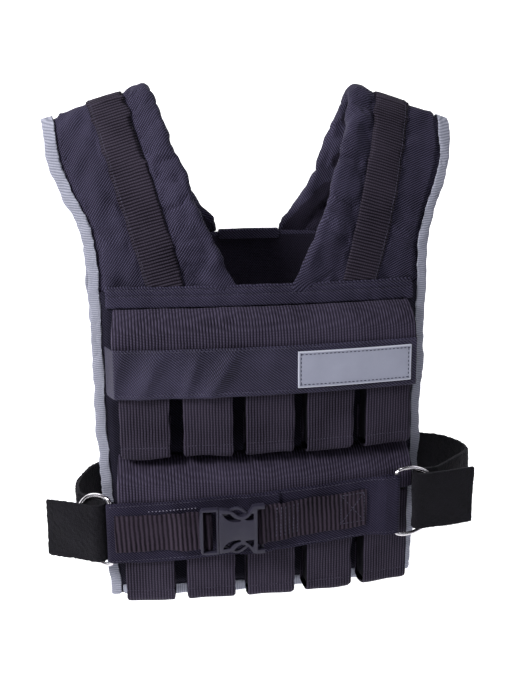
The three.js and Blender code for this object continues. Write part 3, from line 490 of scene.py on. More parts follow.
class Piece:
    """One shown object of the vest and the ways to shape it."""

    evening: int = 60
    facing_limit: float = 0.3

    def __init__(self, thing: bpy.types.Object) -> None:
        """Takes an object as a piece."""
        self.thing = thing

    @classmethod
    def of_mesh(cls, name: str, points: Sequence, faces: Sequence) -> "Piece":
        """Makes a piece from points and faces.

        Args:
            name: The object's name.
            points: Its points.
            faces: Its faces, as indices of the points.

        Returns:
            The piece, which rides with the vest.
        """
        mesh = bpy.data.meshes.new(name)
        mesh.from_pydata(points, [], faces)
        thing = bpy.data.objects.new(name, mesh)
        bpy.context.scene.collection.objects.link(thing)
        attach(thing, BODY)
        return cls(thing)

    @classmethod
    def cut(cls, node: str, grid: Grid) -> "Piece":
        """Copies a CAD node's surface, divides it evenly and rounds its edges.

        Args:
            node: The CAD node that the piece stands for.
            grid: How it is divided.

        Returns:
            The piece.
        """
        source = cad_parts[node].data
        points = [vert.co.copy() for vert in source.vertices]
        faces = [tuple(face.vertices) for face in source.polygons]
        piece = cls.of_mesh(f"{node}_made", points, faces)
        form = bmesh.new()
        form.from_mesh(piece.thing.data)
        bmesh.ops.remove_doubles(form, verts=form.verts, dist=GLUE)
        bmesh.ops.dissolve_limit(form, angle_limit=math.radians(FLAT_DEGREES), verts=form.verts,
                                 edges=form.edges)
        for axis, pitch in enumerate((grid.x, grid.y, grid.z)):
            if pitch:
                cls._slice(form, axis, pitch)
        if grid.fan:
            cls._slice_fan(form, grid.fan)
        form.to_mesh(piece.thing.data)
        form.free()
        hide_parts(node)
        return piece.soften(grid.rounds) if grid.rounds else piece

    @staticmethod
    def _slice(form: bmesh.types.BMesh, axis: int, pitch: float) -> None:
        """Cuts a mesh at even places along one axis."""
        places = [vert.co[axis] for vert in form.verts]
        low, high = min(places), max(places)
        count = max(1, round((high - low) / pitch))
        normal = Vector([float(part == axis) for part in range(3)])
        for step in range(1, count):
            geometry = form.verts[:] + form.edges[:] + form.faces[:]
            bmesh.ops.bisect_plane(form, geom=geometry, dist=GLUE, plane_no=normal,
                                   plane_co=normal * (low + (high - low) * step / count))

    @staticmethod
    def _slice_fan(form: bmesh.types.BMesh, count: int) -> None:
        """Cuts a mesh at even angles round the pivot of the shoulder."""
        depth, height = SHOULDER_PIVOT
        angles = [math.atan2(vert.co.z - height, vert.co.y - depth) % TURN for vert in form.verts]
        low, high = min(angles), max(angles)
        for step in range(1, count):
            angle = low + (high - low) * step / count
            geometry = form.verts[:] + form.edges[:] + form.faces[:]
            bmesh.ops.bisect_plane(form, geom=geometry, dist=GLUE, plane_co=(0, depth, height),
                                   plane_no=(0, -math.sin(angle), math.cos(angle)))

    def soften(self, rounds: int) -> "Piece":
        """Rounds the mesh by subdivision, that many times."""
        modifier = self.thing.modifiers.new("soft edges", "SUBSURF")
        modifier.levels = modifier.render_levels = rounds
        return self.settle()

    def settle(self) -> "Piece":
        """Turns what the modifiers give into the piece's own mesh."""
        depsgraph = bpy.context.evaluated_depsgraph_get()
        mesh = bpy.data.meshes.new_from_object(self.thing.evaluated_get(depsgraph))
        self.thing.modifiers.clear()
        self.thing.data = mesh
        return self

    def points(self) -> np.ndarray:
        """The places of the piece's points, one row each."""
        flat = np.empty(len(self.thing.data.vertices) * 3)
        self.thing.data.vertices.foreach_get("co", flat)
        return flat.reshape(-1, 3)

    def normals(self) -> np.ndarray:
        """The outward directions at the piece's points."""
        flat = np.empty(len(self.thing.data.vertices) * 3)
        self.thing.data.vertex_normals.foreach_get("vector", flat)
        return flat.reshape(-1, 3)

    def move(self, points: np.ndarray) -> "Piece":
        """Puts the piece's points in new places."""
        self.thing.data.vertices.foreach_set("co", np.ascontiguousarray(points).ravel())
        self.thing.data.update()
        return self

    def push(self, heights: np.ndarray | float) -> "Piece":
        """Moves each point outwards by its own height."""
        return self.move(self.points() + self.normals() * np.reshape(heights, (-1, 1)))

    def lay(self, across: np.ndarray, along: np.ndarray) -> "Piece":
        """Stores the cloth's own coordinates on the points.

        Args:
            across: Metres across the piece.
            along: Metres along the piece.

        Returns:
            The piece.
        """
        stored = self.thing.data.attributes.new("lay", "FLOAT_VECTOR", "POINT")
        values = np.stack([across, along, np.zeros_like(across)], axis=1)
        stored.data.foreach_set("vector", np.ascontiguousarray(values).ravel())
        return self

    def lay_front(self, slope: float = 0.0) -> "Piece":
        """Lays the cloth square to the front, carried round the edges.

        Args:
            slope: Rise of the piece along X.

        Returns:
            The piece.
        """
        x, y, z = self.points().T
        return self.lay(x + slope * z, z - y - slope * x)

    def dress(self, slot: str, *finishes: Finish) -> "Piece":
        """Gives the piece its finishes and smooth shading.

        Args:
            slot: The record's material slot; not used.
            finishes: One finish, or several that faces choose from.

        Returns:
            The piece.
        """
        mesh = self.thing.data
        mesh.materials.clear()
        for finish in finishes:
            mesh.materials.append(finish.material())
        mesh.polygons.foreach_set("use_smooth", np.ones(len(mesh.polygons), dtype=bool))
        mesh.update()
        LOG.info("%s: %d faces", self.thing.name, len(mesh.polygons))
        return self

    def crease(self, degrees: float) -> "Piece":
        """Keeps edges sharper than that angle sharp in the shading."""
        self.thing.data.set_sharp_from_angle(angle=math.radians(degrees))
        return self

    def line_inside(self, depth: float, height: float | None = None) -> "Piece":
        """Gives faces that look at a line inside the vest the second finish.

        Args:
            depth: Depth of that line, which runs along X.
            height: Height of that line; faces at any height look at its depth without it.

        Returns:
            The piece.
        """
        mesh = self.thing.data
        points = self.points()
        inward = np.zeros_like(points)
        inward[:, 1] = depth - points[:, 1]
        if height is not None:
            inward[:, 2] = height - points[:, 2]
        facing = (inward * self.normals()).sum(axis=1) / (np.linalg.norm(inward, axis=1) + GLUE)
        pairs = np.empty(len(mesh.edges) * 2, dtype=np.int32)
        mesh.edges.foreach_get("vertices", pairs)
        ends = np.concatenate((pairs[0::2], pairs[1::2]))
        others = np.concatenate((pairs[1::2], pairs[0::2]))
        shares = np.bincount(ends, minlength=len(points)) + 1.0
        for _ in range(self.evening):
            facing = (facing + np.bincount(ends, facing[others], minlength=len(points))) / shares
        corners = np.empty(len(mesh.loops), dtype=np.int32)
        starts = np.empty(len(mesh.polygons), dtype=np.int32)
        mesh.loops.foreach_get("vertex_index", corners)
        mesh.polygons.foreach_get("loop_start", starts)
        inside = np.minimum.reduceat(facing[corners], starts) > self.facing_limit
        mesh.polygons.foreach_set("material_index", inside.astype(np.int32))
        mesh.update()
        return self

    def box(self) -> tuple[np.ndarray, np.ndarray]:
        """The piece's lowest and highest corners."""
        place = self.points()
        return place.min(axis=0), place.max(axis=0)

    def tree(self) -> BVHTree:
        """A search tree over the piece's faces."""
        mesh = self.thing.data
        return BVHTree.FromPolygons([vert.co.copy() for vert in mesh.vertices],
                                    [tuple(face.vertices) for face in mesh.polygons])


class Spine:
    """The middle line of a strap that runs over the shoulder."""

    def __init__(self, points: np.ndarray, count: int = 64) -> None:
        """Finds the line.

        Args:
            points: The strap's points.
            count: Number of places on the line.
        """
        depth, height = SHOULDER_PIVOT
        angles = np.arctan2(points[:, 2] - height, points[:, 1] - depth) % TURN
        edges = np.linspace(angles.min(), angles.max() + GLUE, count + 1)
        inside = [points[(angles >= low) & (angles < high)] for low, high in zip(edges, edges[1:])]
        middles = np.array([(part.min(axis=0) + part.max(axis=0)) / 2 for part in inside if len(part)])
        for _ in range(4):
            middles[1:-1] = (middles[:-2] + middles[1:-1] * 2 + middles[2:]) / 4
        self.line = middles
        steps = np.linalg.norm(np.diff(middles, axis=0), axis=1)
        self.lengths = np.concatenate([[0], np.cumsum(steps)])
        self.ways = np.gradient(middles, axis=0)
        self.ways /= np.linalg.norm(self.ways, axis=1)[:, None]
        side = np.array([1.0, 0, 0]) - self.ways * self.ways[:, :1]
        self.sides = side / np.linalg.norm(side, axis=1)[:, None]

    def follow(self, points: np.ndarray) -> tuple[np.ndarray, np.ndarray]:
        """Reads the strap's own coordinates.

        Args:
            points: Places on the strap.

        Returns:
            Metres across the strap and along it.
        """
        gaps = ((points[:, None, :] - self.line[None, :, :]) ** 2).sum(axis=2)
        near = gaps.argmin(axis=1)
        step = points - self.line[near]
        along = self.lengths[near] + (step * self.ways[near]).sum(axis=1)
        return (step * self.sides[near]).sum(axis=1), along

    def offset(self, across: float) -> list[Vector]:
        """The line moved sideways by that much."""
        return [Vector(place) for place in self.line + self.sides * across]


@dataclass(frozen=True)
class Stitch:
    """Size of one stitch and the gap to the next."""

    length: float = 0.0027
    gap: float = 0.0012
    radius: float = 0.00036


class Sewing:
    """Rows of stitches, gathered into one piece. A stitch has rings at shares of its length."""

    corners: int = 6
    rings: tuple = ((-1.0, 0.25), (-0.55, 1.0), (0.55, 1.0), (1.0, 0.25))

    def __init__(self, name: str, stitch: Stitch = Stitch()) -> None:
        """Starts an empty set of rows."""
        self.name = name
        self.stitch = stitch
        self.points: list[Vector] = []
        self.faces: list[tuple[int, ...]] = []

    def _add(self, middle: Vector, way: Vector, normal: Vector) -> None:
        """Adds one stitch, a small capsule that lies on the cloth."""
        side = way.cross(normal).normalized()
        start = len(self.points)
        half, thick = self.stitch.length / 2, self.stitch.radius
        for reach, width in self.rings:
            for corner in range(self.corners):
                turn = TURN * corner / self.corners
                rise = normal * (math.sin(turn) * thick * width)
                offset = side * (math.cos(turn) * thick * width) + rise
                self.points.append(middle + way * (reach * half) + offset)
        for ring in range(len(self.rings) - 1):
            base = start + ring * self.corners
            for corner in range(self.corners):
                first, second = base + corner, base + (corner + 1) % self.corners
                self.faces.append((first, second, second + self.corners, first + self.corners))
        last = len(self.points) - self.corners
        self.faces.append(tuple(start + corner for corner in reversed(range(self.corners))))
        self.faces.append(tuple(last + corner for corner in range(self.corners)))

    def row(self, path: Sequence[Vector], cloth: BVHTree, facing: Vector | None = None) -> None:
        """Sews along a line.

        Args:
            path: Points of the line, on the cloth or near it.
            cloth: The cloth's search tree.
            facing: Where the line is looked at from; the nearest cloth is used without it.
        """
        step = self.stitch.length + self.stitch.gap
        places = [Vector(place) for place in path]
        reached = 0.0
        for start, end in zip(places, places[1:]):
            span = (end - start).length
            while reached < span:
                place = start.lerp(end, reached / span)
                if facing is None:
                    hit, normal, _, _ = cloth.find_nearest(place)
                else:
                    hit, normal, _, _ = cloth.ray_cast(place + facing, -facing)
                if hit is not None:
                    way = (end - start).normalized()
                    way = (way - normal * way.dot(normal)).normalized()
                    self._add(hit + normal * (0.35 * self.stitch.radius), way, normal)
                reached += step
            reached -= span

    def place(self, slot: str, finish: Finish) -> None:
        """Makes the piece in the thread's finish."""
        Piece.of_mesh(self.name, self.points, self.faces).dress(slot, finish)


@dataclass
class Studio:
    """Camera, pale floor and soft lights."""

    camera_place: tuple[float, float, float] = (-0.15669, -0.97012, -0.0526)
    azimuth: float = -9.5
    elevation: float = 12.657
    roll: float = -0.483
    focal_pixels: float = 909.1
    picture_height: float = 688.0
    sensor: float = 36.0
    floor_height: float = -0.62
    backdrop_depth: float = 1.6
    glow_start: float = -0.42
    glow_reach: float = 0.3
    middle: Vector = field(default_factory=lambda: Vector((0, -0.04, -0.26)))

    def build(self) -> None:
        """Makes the camera, floor and lights."""
        self._camera()
        self._floor()
        self._light("key", (-1.25, -0.8, 0.65), 0.5, 33, (1.0, 0.99, 1.0))
        self._light("fill", (1.3, -1.1, 0.1), 0.8, 2.8, (0.93, 0.95, 1.0))
        self._light("top", (0.1, -0.35, 1.2), 0.6, 6, (0.96, 0.97, 1.0))
        self._light("rim_left", (-1.1, 0.8, 0.35), 0.8, 5, (0.95, 0.96, 1.0))
        self._light("rim_right", (1.1, 0.9, 0.35), 0.8, 4, (0.95, 0.96, 1.0))
        world = bpy.data.worlds.new("studio")
        world.use_nodes = True
        sky = world.node_tree.nodes["Background"].inputs
        sky["Color"].default_value, sky["Strength"].default_value = (0.93, 0.94, 1.0, 1.0), 0.06
        bpy.context.scene.world = world
        bpy.context.scene.view_settings.view_transform = "Standard"

    def _camera(self) -> None:
        """Makes the camera at the photograph's place."""
        data = bpy.data.cameras.new("camera")
        data.sensor_width = self.sensor
        data.lens = self.focal_pixels * self.sensor / self.picture_height
        camera = bpy.data.objects.new("camera", data)
        turn, tilt = math.radians(self.azimuth), math.radians(self.elevation)
        forward = Vector((-math.sin(turn) * math.cos(tilt), math.cos(turn) * math.cos(tilt),
                          -math.sin(tilt)))
        rotation = forward.to_track_quat("-Z", "Y").to_matrix().to_4x4()
        rotation = rotation @ Matrix.Rotation(math.radians(self.roll), 4, "Z")
        camera.matrix_world = Matrix.Translation(self.camera_place) @ rotation
        bpy.context.scene.collection.objects.link(camera)
        bpy.context.scene.camera = camera

    def _floor(self) -> None:
        """Makes a pale floor that curves up behind the vest."""
        rows, radius = [], 0.7
        for step in range(13):
            turn = math.pi / 2 * step / 12
            rows.append((self.backdrop_depth + radius * math.sin(turn),
                         self.floor_height + radius * (1 - math.cos(turn))))
        rows = [(-3.0, self.floor_height), *rows, (self.backdrop_depth + radius, 3.0)]
        points = [(side * 4.0, depth, height) for depth, height in rows for side in (-1, 1)]
        faces = [(2 * i, 2 * i + 1, 2 * i + 3, 2 * i + 2) for i in range(len(rows) - 1)]
        floor = Piece.of_mesh("floor", points, faces)
        loom = Loom("floor_paper")
        grain = loom.speckle(0.08, 2.0)
        place = loom.node("ShaderNodeTexCoord", output="Object")
        split = loom.node("ShaderNodeSeparateXYZ", {}, {0: place}, "Y")
        glow = ((split - self.glow_start) * (1 / self.glow_reach)).clipped()
        inputs = {
            "Base Color": loom.blend(grain, (0.86, 0.86, 0.88, 1), (0.9, 0.9, 0.91, 1)),
            "Roughness": 0.9,
            "Emission Color": loom.blend(glow, (0, 0, 0, 1), (1, 1, 1, 1)),
            "Emission Strength": 0.85,
        }
        floor.thing.data.materials.append(loom.finish(inputs))
        floor.thing.data.polygons.foreach_set("use_smooth", np.ones(len(faces), dtype=bool))

    def _light(self, name: str, place: tuple[float, float, float], size: float, power: float,
               colour: tuple[float, float, float]) -> None:
        """Adds a square soft light that looks at the vest."""
        data = bpy.data.lights.new(name, "AREA")
        data.size, data.energy, data.color = size, power, colour
        light = bpy.data.objects.new(name, data)
        light.location = place
        light.rotation_euler = (self.middle - Vector(place)).to_track_quat("-Z", "Y").to_euler()
        bpy.context.scene.collection.objects.link(light)


@dataclass
class ShoulderStrap:
    """A padded strap with webbing down its middle, and the tape on the vest's edge."""

    side: Side
    voxel: float = 0.0031
    pressure: float = 3.0
    slack: float = 0.06
    frames: int = 20
    cap: float = 0.0055
    sewn_reach: float = 0.0035
    tape_reach: float = 0.0034
    tuck: float = 0.001
    draw_in: float = 0.0028
    webbing_half: float = 0.019
    stitch_inset: float = 0.0024
    pucker_pitch: float = 0.021
    pucker_depth: float = 0.0008
    end_reach: float = 0.0032
    rib_wave: float = 0.0005
    webbing_sink: float = 0.0006
    swell: float = 0.0012
    highest: float = 0.0015
    front_end: float = -0.194
    back_end: float = -0.145

    def build(self) -> None:
        """Makes the pad, the webbing and the tape."""
        word = self.side.word
        self.webbing = Piece.cut(f"shoulder_webbing_{word}", Grid(fan=90))
        self.spine = Spine(self.webbing.points())
        self.tape = Piece.cut(f"edge_binding_{word}", Grid(y=0.004, z=0.0045))
        self.pad = self._pad(f"shoulder_strap_{word}")
        self._shape_webbing()
        self._shape_tape()

    def _shape_webbing(self) -> None:
        """Makes the webbing's edges and face slightly uneven."""
        place = self.webbing.points()
        across, along = self.spine.follow(place)
        self.webbing.lay(along, across)
        seed = 11 + self.side.value
        lift = Ripple(0.03, seed).at(place) * 0.5 + 0.5
        place[:, 0] += np.sign(across) * (np.abs(across) / self.webbing_half) ** 3 \
            * Ripple(0.022, seed + 5).at(place) * 0.0003
        self.webbing.move(place)
        self.webbing.push(lift * self.rib_wave)

    def _shape_tape(self) -> None:
        """Wrinkles the tape along the edge."""
        place = self.tape.points()
        seed = 31 + self.side.value
        relief = Ripple(0.011, seed).at(place) * 0.00045 + Ripple(0.03, seed + 3).at(place) * 0.0005
        self.tape.push(relief)
        place = self.tape.points()
        place[:, 0] += Ripple(0.04, seed + 7).at(place) * 0.0009
        self.tape.move(place)
        self.tape.lay(place[:, 2] - place[:, 1] * 0.5, place[:, 0])

    def _pad(self, node: str) -> Piece:
        """Fills the pad with foam by cloth simulation, held where it is sewn.

        Args:
            node: The CAD node that the pad stands for.

        Returns:
            The padded piece.
        """
        pad = Piece.cut(node, Grid(rounds=0))
        remesh = pad.thing.modifiers.new("even cloth", "REMESH")
        remesh.mode, remesh.voxel_size = "VOXEL", self.voxel
        pad.settle()
        start = pad.points()
        taped = self._near(pad, self.tape, self.tape_reach)
        start -= pad.normals() * (taped[:, None] * self.tuck)
        start[:, 0] -= self.side.value * taped * self.draw_in
        pad.move(start)
        beyond = self.spine.follow(start)[0] * self.side.value > -self.webbing_half
        held = np.maximum(beyond.astype(float), taped)
        webbed = self._near(pad, self.webbing, self.sewn_reach)
        start -= pad.normals() * (webbed[:, None] * self.webbing_sink)
        pad.move(start)
        self._stuff(pad, held)
        moved = pad.points() - start
        reach = np.linalg.norm(moved, axis=1)[:, None]
        pad.move(start + moved * np.minimum(1, self.cap / np.maximum(reach, GLUE)))
        pad.soften(1)
        place = pad.points()
        held = np.maximum(self._near(pad, self.webbing, self.sewn_reach),
                          self._near(pad, self.tape, self.tape_reach + 0.002))
        across, along = self.spine.follow(place)
        beside = np.abs(across) - self.webbing_half
        near = np.clip(1 - np.abs(beside - 0.006) / 0.012, 0, 1) * (held < 0.5)
        puckers = np.sin(along * (TURN / self.pucker_pitch) + Ripple(0.05, 3).at(place) * 2.5)
        relief = Ripple(0.022, 41 + self.side.value).at(place) * self.swell * (held < 0.5)
        pad.push(np.minimum(relief - near * (0.5 + 0.5 * puckers) * self.pucker_depth, self.highest))
        pad.lay(across, along)
        place = pad.points()
        place[:, 2] -= self.end_reach * np.clip((self.end_height(place) - place[:, 2]) / 0.005, 0, 1)
        pad.move(place)
        return pad

    def end_height(self, place: np.ndarray) -> np.ndarray:
        """Height of the strap's last 5 mm, in front or behind."""
        return np.where(place[:, 1] < SHOULDER_PIVOT[0], self.front_end, self.back_end)

    @staticmethod
    def _near(pad: Piece, other: Piece, reach: float) -> np.ndarray:
        """Marks with 1 each point of the pad that is within reach of another piece."""
        tree = other.tree()
        nearest = np.array([tree.find_nearest(Vector(place))[3] for place in pad.points()])
        return (nearest < reach).astype(float)

    def _stuff(self, pad: Piece, held: np.ndarray) -> None:
        """Runs the cloth simulation and keeps its result."""
        group = pad.thing.vertex_groups.new(name="sewn")
        group.add([int(index) for index in np.nonzero(held)[0]], 1.0, "REPLACE")
        cloth = pad.thing.modifiers.new("stuffing", "CLOTH")
        cloth.point_cache.frame_start, cloth.point_cache.frame_end = 1, self.frames
        rules = cloth.settings
        rules.quality = 5
        rules.mass = 0.2
        rules.use_pressure = True
        rules.uniform_pressure_force = self.pressure
        rules.shrink_min = -self.slack
        rules.bending_stiffness = 0.8
        rules.vertex_group_mass = group.name
        rules.effector_weights.gravity = 0
        for step in range(1, self.frames + 1):
            bpy.context.scene.frame_set(step)
        pad.settle()
        bpy.context.scene.frame_set(1)
        pad.thing.vertex_groups.clear()

    def dress(self) -> None:
        """Finishes the strap and sews the webbing down."""
        self.pad.dress("twill", TWILL, NET).line_inside(*SHOULDER_PIVOT)
        self.webbing.dress("webbing", STRAP_RIB)
        self.tape.dress("tape", TAPE)
        sewing = Sewing(f"strap_stitches_{self.side.word}")
        tree = self.webbing.tree()
        for sign in (-1, 1):
            line = self.spine.offset(sign * (self.webbing_half - self.stitch_inset))
            sewing.row([place + Vector((0, -0.001, 0.001)) for place in line[1:-1]], tree)
        sewing.place("webbing", THREAD)


@dataclass
class Panel:
    """A padded panel with a net lining, its hem and its bottom tape."""

    face: Face
    pitch: float = 0.009
    swell: float = 0.0018
    quilt: float = 0.062
    hem_fold: float = 0.0006
    hem_pitch: float = 0.009
    hem_wave: float = 0.0004
    hem_seams: tuple[float, float] = (-0.1972, -0.2035)
    hem_half: float = 0.156
    seam_depth: float = 0.0007
    hem_sizes: tuple[tuple[float, float], tuple[float, float]] = ((0.36, 0.024), (0.067, 0.031))

    def build(self) -> None:
        """Makes the panel, its hem and its tape."""
        word = self.face.value
        self.body = Piece.cut(f"{word}_panel", Grid(x=self.pitch, z=self.pitch))
        place = self.body.points()
        low, high = place.min(axis=0), place.max(axis=0)
        inset = np.minimum(place[:, 2] - low[2], high[2] - place[:, 2])
        inset = np.minimum(high[0] - np.abs(place[:, 0]), inset)
        room = np.clip((inset - 0.02) / 0.03, 0, 1)
        relief = Ripple(0.06, 5).at(place) * 0.0009
        if self.face is Face.BACK:
            relief += np.abs(np.sin(place[:, 0] * math.pi / self.quilt + math.pi / 2)) * self.swell
        self.body.push(relief * room)
        self.body.lay(place[:, 0], place[:, 2])
        self.tape = Piece.cut(f"bottom_binding_{word}", Grid(x=0.004, z=0.004))
        place = self.tape.points()
        self.tape.push(Ripple(0.012, 17).at(place) * 0.0004 + Ripple(0.03, 19).at(place) * 0.0004)
        x, _, z = self.tape.points().T
        self.tape.lay(x, z)
        self.hem = Piece.cut(f"{word}_hem", Grid(x=0.003, z=0.002))
        place = self.hem.points()
        relief = np.abs(Ripple(0.026, 23, (1, 1, 0.5)).at(place)) * self.hem_fold
        if self.face is Face.FRONT:
            turns = (place[:, 0] + 0.8 * place[:, 2]) * (TURN / self.hem_pitch)
            waves = 0.5 + 0.5 * np.sin(turns + Ripple(0.06, 27).at(place) * 2)
            relief += waves * self.hem_wave
            for drop in self.hem_seams:
                relief -= bump_at(place[:, 2], drop, 0.0011) * self.seam_depth
        self.hem.push(relief)
        self.hem.lay(place[:, 0], place[:, 2] - place[:, 1])

    def dress(self) -> None:
        """Finishes the panel and sews the hem."""
        # The front panel gets the darker twill, painted shade for the gaps between the loops.
        outer = PAINTED_SHADE_TWILL if self.face is Face.FRONT else TWILL
        self.body.dress("twill", outer, NET).line_inside(0.0)
        self.tape.dress("tape", TAPE)
        self.hem.dress("twill", TWILL)
        if self.face is Face.FRONT:
            sewing = Sewing("hem_stitches")
            tree = self.hem.tree()
            for drop in self.hem_seams:
                ends = [Vector((side * self.hem_half, 0, drop)) for side in (-1, 1)]
                sewing.row(ends, tree, FROM_FRONT)
            sewing.place("twill", THREAD)


@dataclass
class PocketRow:
    """Five weights in webbing loops, under a ribbed cover."""

    row: str
    seed: int
    count: int = 5
    fold_rise: float = 0.015
    fold_depth: float = 0.0007
    edge_wave: float = 0.0006
    turn_under: float = 0.0012
    cover_size: tuple[float, float] = (0.37, 0.05)

    def build(self) -> None:
        """Makes the weights, the loops and the cover."""
        self.weights, self.loops = [], []
        for number in range(1, self.count + 1):
            weight = Piece.cut(f"weight_{self.row}_{number}", Grid(x=0.006, z=0.007))
            place = weight.points()
            weight.push(np.minimum(Ripple(0.03, self.seed + number).at(place) * 0.0006 - 0.0004, 0))
            weight.lay_front()
            self.weights.append(weight)
            self.loops.append(self._loop(number))
        self.cover = Piece.cut(f"pocket_band_{self.row}", Grid(x=0.004, z=0.004))
        self._shape_cover()

    def _loop(self, number: int) -> Piece:
        """Makes one loop, with uneven edges and a sewn fold near its bottom."""
        loop = Piece.cut(f"loop_{self.row}_{number}", Grid(x=0.005, z=0.0035))
        place = loop.points()
        low, high = place.min(axis=0), place.max(axis=0)
        across = (place[:, 0] - (low[0] + high[0]) / 2) / ((high[0] - low[0]) / 2)
        seed = self.seed + 20 * number
        edge = np.sign(across) * np.abs(across) ** 3
        place[:, 0] += edge * Ripple(0.025, seed).at(place) * self.edge_wave
        place[:, 2] += np.clip((low[2] + 0.02 - place[:, 2]) / 0.02, 0, 1) \
            * Ripple(0.06, seed + 1).at(place) * 0.0012
        under = np.clip((low[2] + 0.008 - place[:, 2]) / 0.008, 0, 1) ** 1.5
        place[:, 1] += under * self.turn_under * (place[:, 1] < (low[1] + high[1]) / 2)
        loop.move(place)
        front = np.clip((high[1] - place[:, 1]) / (high[1] - low[1]) * 2 - 1, 0, 1)
        fold = bump_at(place[:, 2], low[2] + self.fold_rise, 0.0016) * self.fold_depth * front
        swell = (1 - across ** 2) * Ripple(0.05, seed + 2).at(place) * 0.0005
        loop.push(np.minimum(swell - fold, 0.0006))
        return loop.lay_front()

    def _shape_cover(self) -> None:
        """Puckers the cover under its top seam and waves its lower edge."""
        place = self.cover.points()
        low, high = place.min(axis=0), place.max(axis=0)
        drop = (high[2] - place[:, 2]) / (high[2] - low[2])
        puckers = np.sin(place[:, 0] * (TURN / 0.017) + Ripple(0.08, self.seed).at(place) * 3)
        relief = bump_at(drop, 0.12, 0.14) * (0.5 + 0.5 * puckers) * 0.0007
        relief += Ripple(0.05, self.seed + 3).at(place) * 0.0006
        self.cover.push(np.clip(relief, -0.0002, 0.0014))
        self.cover.lay_front()

    def dress(self) -> None:
        """Finishes the row."""
        for weight in self.weights:
            weight.dress("twill", SLEEVE)
        sewing = Sewing(f"loop_stitches_{self.row}", Stitch(0.0022, 0.0014, 0.0003))
        for loop in self.loops:
            loop.dress("webbing", LOOP_RIB)
            low, high = loop.box()
            height = low[2] + self.fold_rise
            ends = [Vector((x, 0, height)) for x in (low[0] + 0.002, high[0] - 0.002)]
            sewing.row(ends, loop.tree(), FROM_FRONT)
        sewing.place("webbing", THREAD)
        self.cover.dress("webbing", BAND_RIB)


@dataclass(frozen=True)
class Fold:
    """A slanting fold of the flap: places of its line at the flap's top and bottom, and its form."""

    top: float
    bottom: float
    width: float
    height: float


@dataclass
class Flap:
    """The twill flap over the upper weights, with its soft folds, and the bare patch on it."""

    folds: tuple[Fold, ...] = (
        Fold(-0.146, -0.160, 0.008, 0.0034),
        Fold(-0.108, -0.130, 0.011, 0.0052),
        Fold(-0.070, -0.086, 0.006, 0.0028),
        Fold(-0.034, -0.062, 0.009, 0.0054),
        Fold(0.010, -0.020, 0.014, 0.0012),
    )
    lift: float = 0.0004
    rim_width: float = 0.0016
    rim_height: float = 0.0005
    seam_inset: float = 0.003
    flap_size: tuple[float, float] = (0.36, 0.053)
    seam_half: float = 0.157
    seam_heights: tuple[float, float] = (-0.2966, -0.2535)

    def build(self) -> None:
        """Makes the flap and the patch."""
        self.cloth = Piece.cut("pocket_flap", Grid(x=0.003, z=0.003))
        place = self.cloth.points()
        low, high = place.min(axis=0), place.max(axis=0)
        drop = (high[2] - place[:, 2]) / (high[2] - low[2])
        relief = np.full(len(place), self.lift)
        for fold in self.folds:
            middle = fold.top + (fold.bottom - fold.top) * drop
            share = 0.35 + 0.65 * np.sin(drop * 3.0)
            relief += bump_at(place[:, 0], middle, fold.width) * fold.height * share
        relief += bump_at(drop, 0.95, 0.035) * 0.0006 - bump_at(drop, 0.87, 0.03) * 0.0004
        calm = np.clip((0.022 - place[:, 0]) / 0.02, 0, 1)
        relief = self.lift + (relief - self.lift) * calm
        place[:, 1] -= relief
        self.cloth.move(place)
        self.cloth.lay_front()
        self.patch = Piece.cut("patch", Grid(x=0.0011, z=0.0011, rounds=0))
        self._shape_patch()

    def _shape_patch(self) -> None:
        """Raises the patch's rim and sinks its sewn line."""
        place = self.patch.points()
        low, high = place.min(axis=0), place.max(axis=0)
        edge = np.minimum(np.minimum(place[:, 0] - low[0], high[0] - place[:, 0]),
                          np.minimum(place[:, 2] - low[2], high[2] - place[:, 2]))
        front = self.patch.normals()[:, 1] < -0.5
        reach = self.rim_width * 0.55
        profile = np.clip(1 - np.abs(edge - reach) / reach, 0, 1) ** 0.5
        groove = bump_at(edge, self.seam_inset, 0.0006)
        wave = Ripple(0.03, 71).at(place) * 0.0002
        place[:, 1] -= np.where(front, self.lift + profile * self.rim_height - groove * 0.0003 + wave, 0)
        self.patch.move(place)
        self.patch.lay_front()

    def dress(self) -> None:
        """Finishes the flap and the patch and sews both."""
        self.cloth.dress("twill", SATIN_TWILL)
        self.patch.dress("rubber", RUBBER, RIM_HIGHLIGHT_RUBBER).crease(35)
        low, high = self.patch.box()
        # Faces within the rim's width take the lighter rubber, a painted highlight along the raised rim.
        for polygon in self.patch.thing.data.polygons:
            centre = polygon.center
            edge = min(centre.x - low[0], high[0] - centre.x, centre.z - low[2], high[2] - centre.z)
            polygon.material_index = int(edge < self.rim_width)
        left, bottom = low[0] + self.seam_inset, low[2] + self.seam_inset
        right, top = high[0] - self.seam_inset, high[2] - self.seam_inset
        places = ((left, bottom), (right, bottom), (right, top), (left, top))
        corners = [Vector((x, 0, z)) for x, z in places]
        sewing = Sewing("patch_stitches", Stitch(0.0026, 0.0016, 0.0004))
        tree = self.patch.tree()
        for ends in zip(corners, corners[1:] + corners[:1]):
            sewing.row(ends, tree, FROM_FRONT)
        sewing.place("rubber", DARK_THREAD)
        edge_sewing = Sewing("flap_stitches")
        tree = self.cloth.tree()
        for height in self.seam_heights:
            ends = [Vector((side * self.seam_half, 0, height)) for side in (-1, 1)]
            edge_sewing.row(ends, tree, FROM_FRONT)
        edge_sewing.place("twill", THREAD)


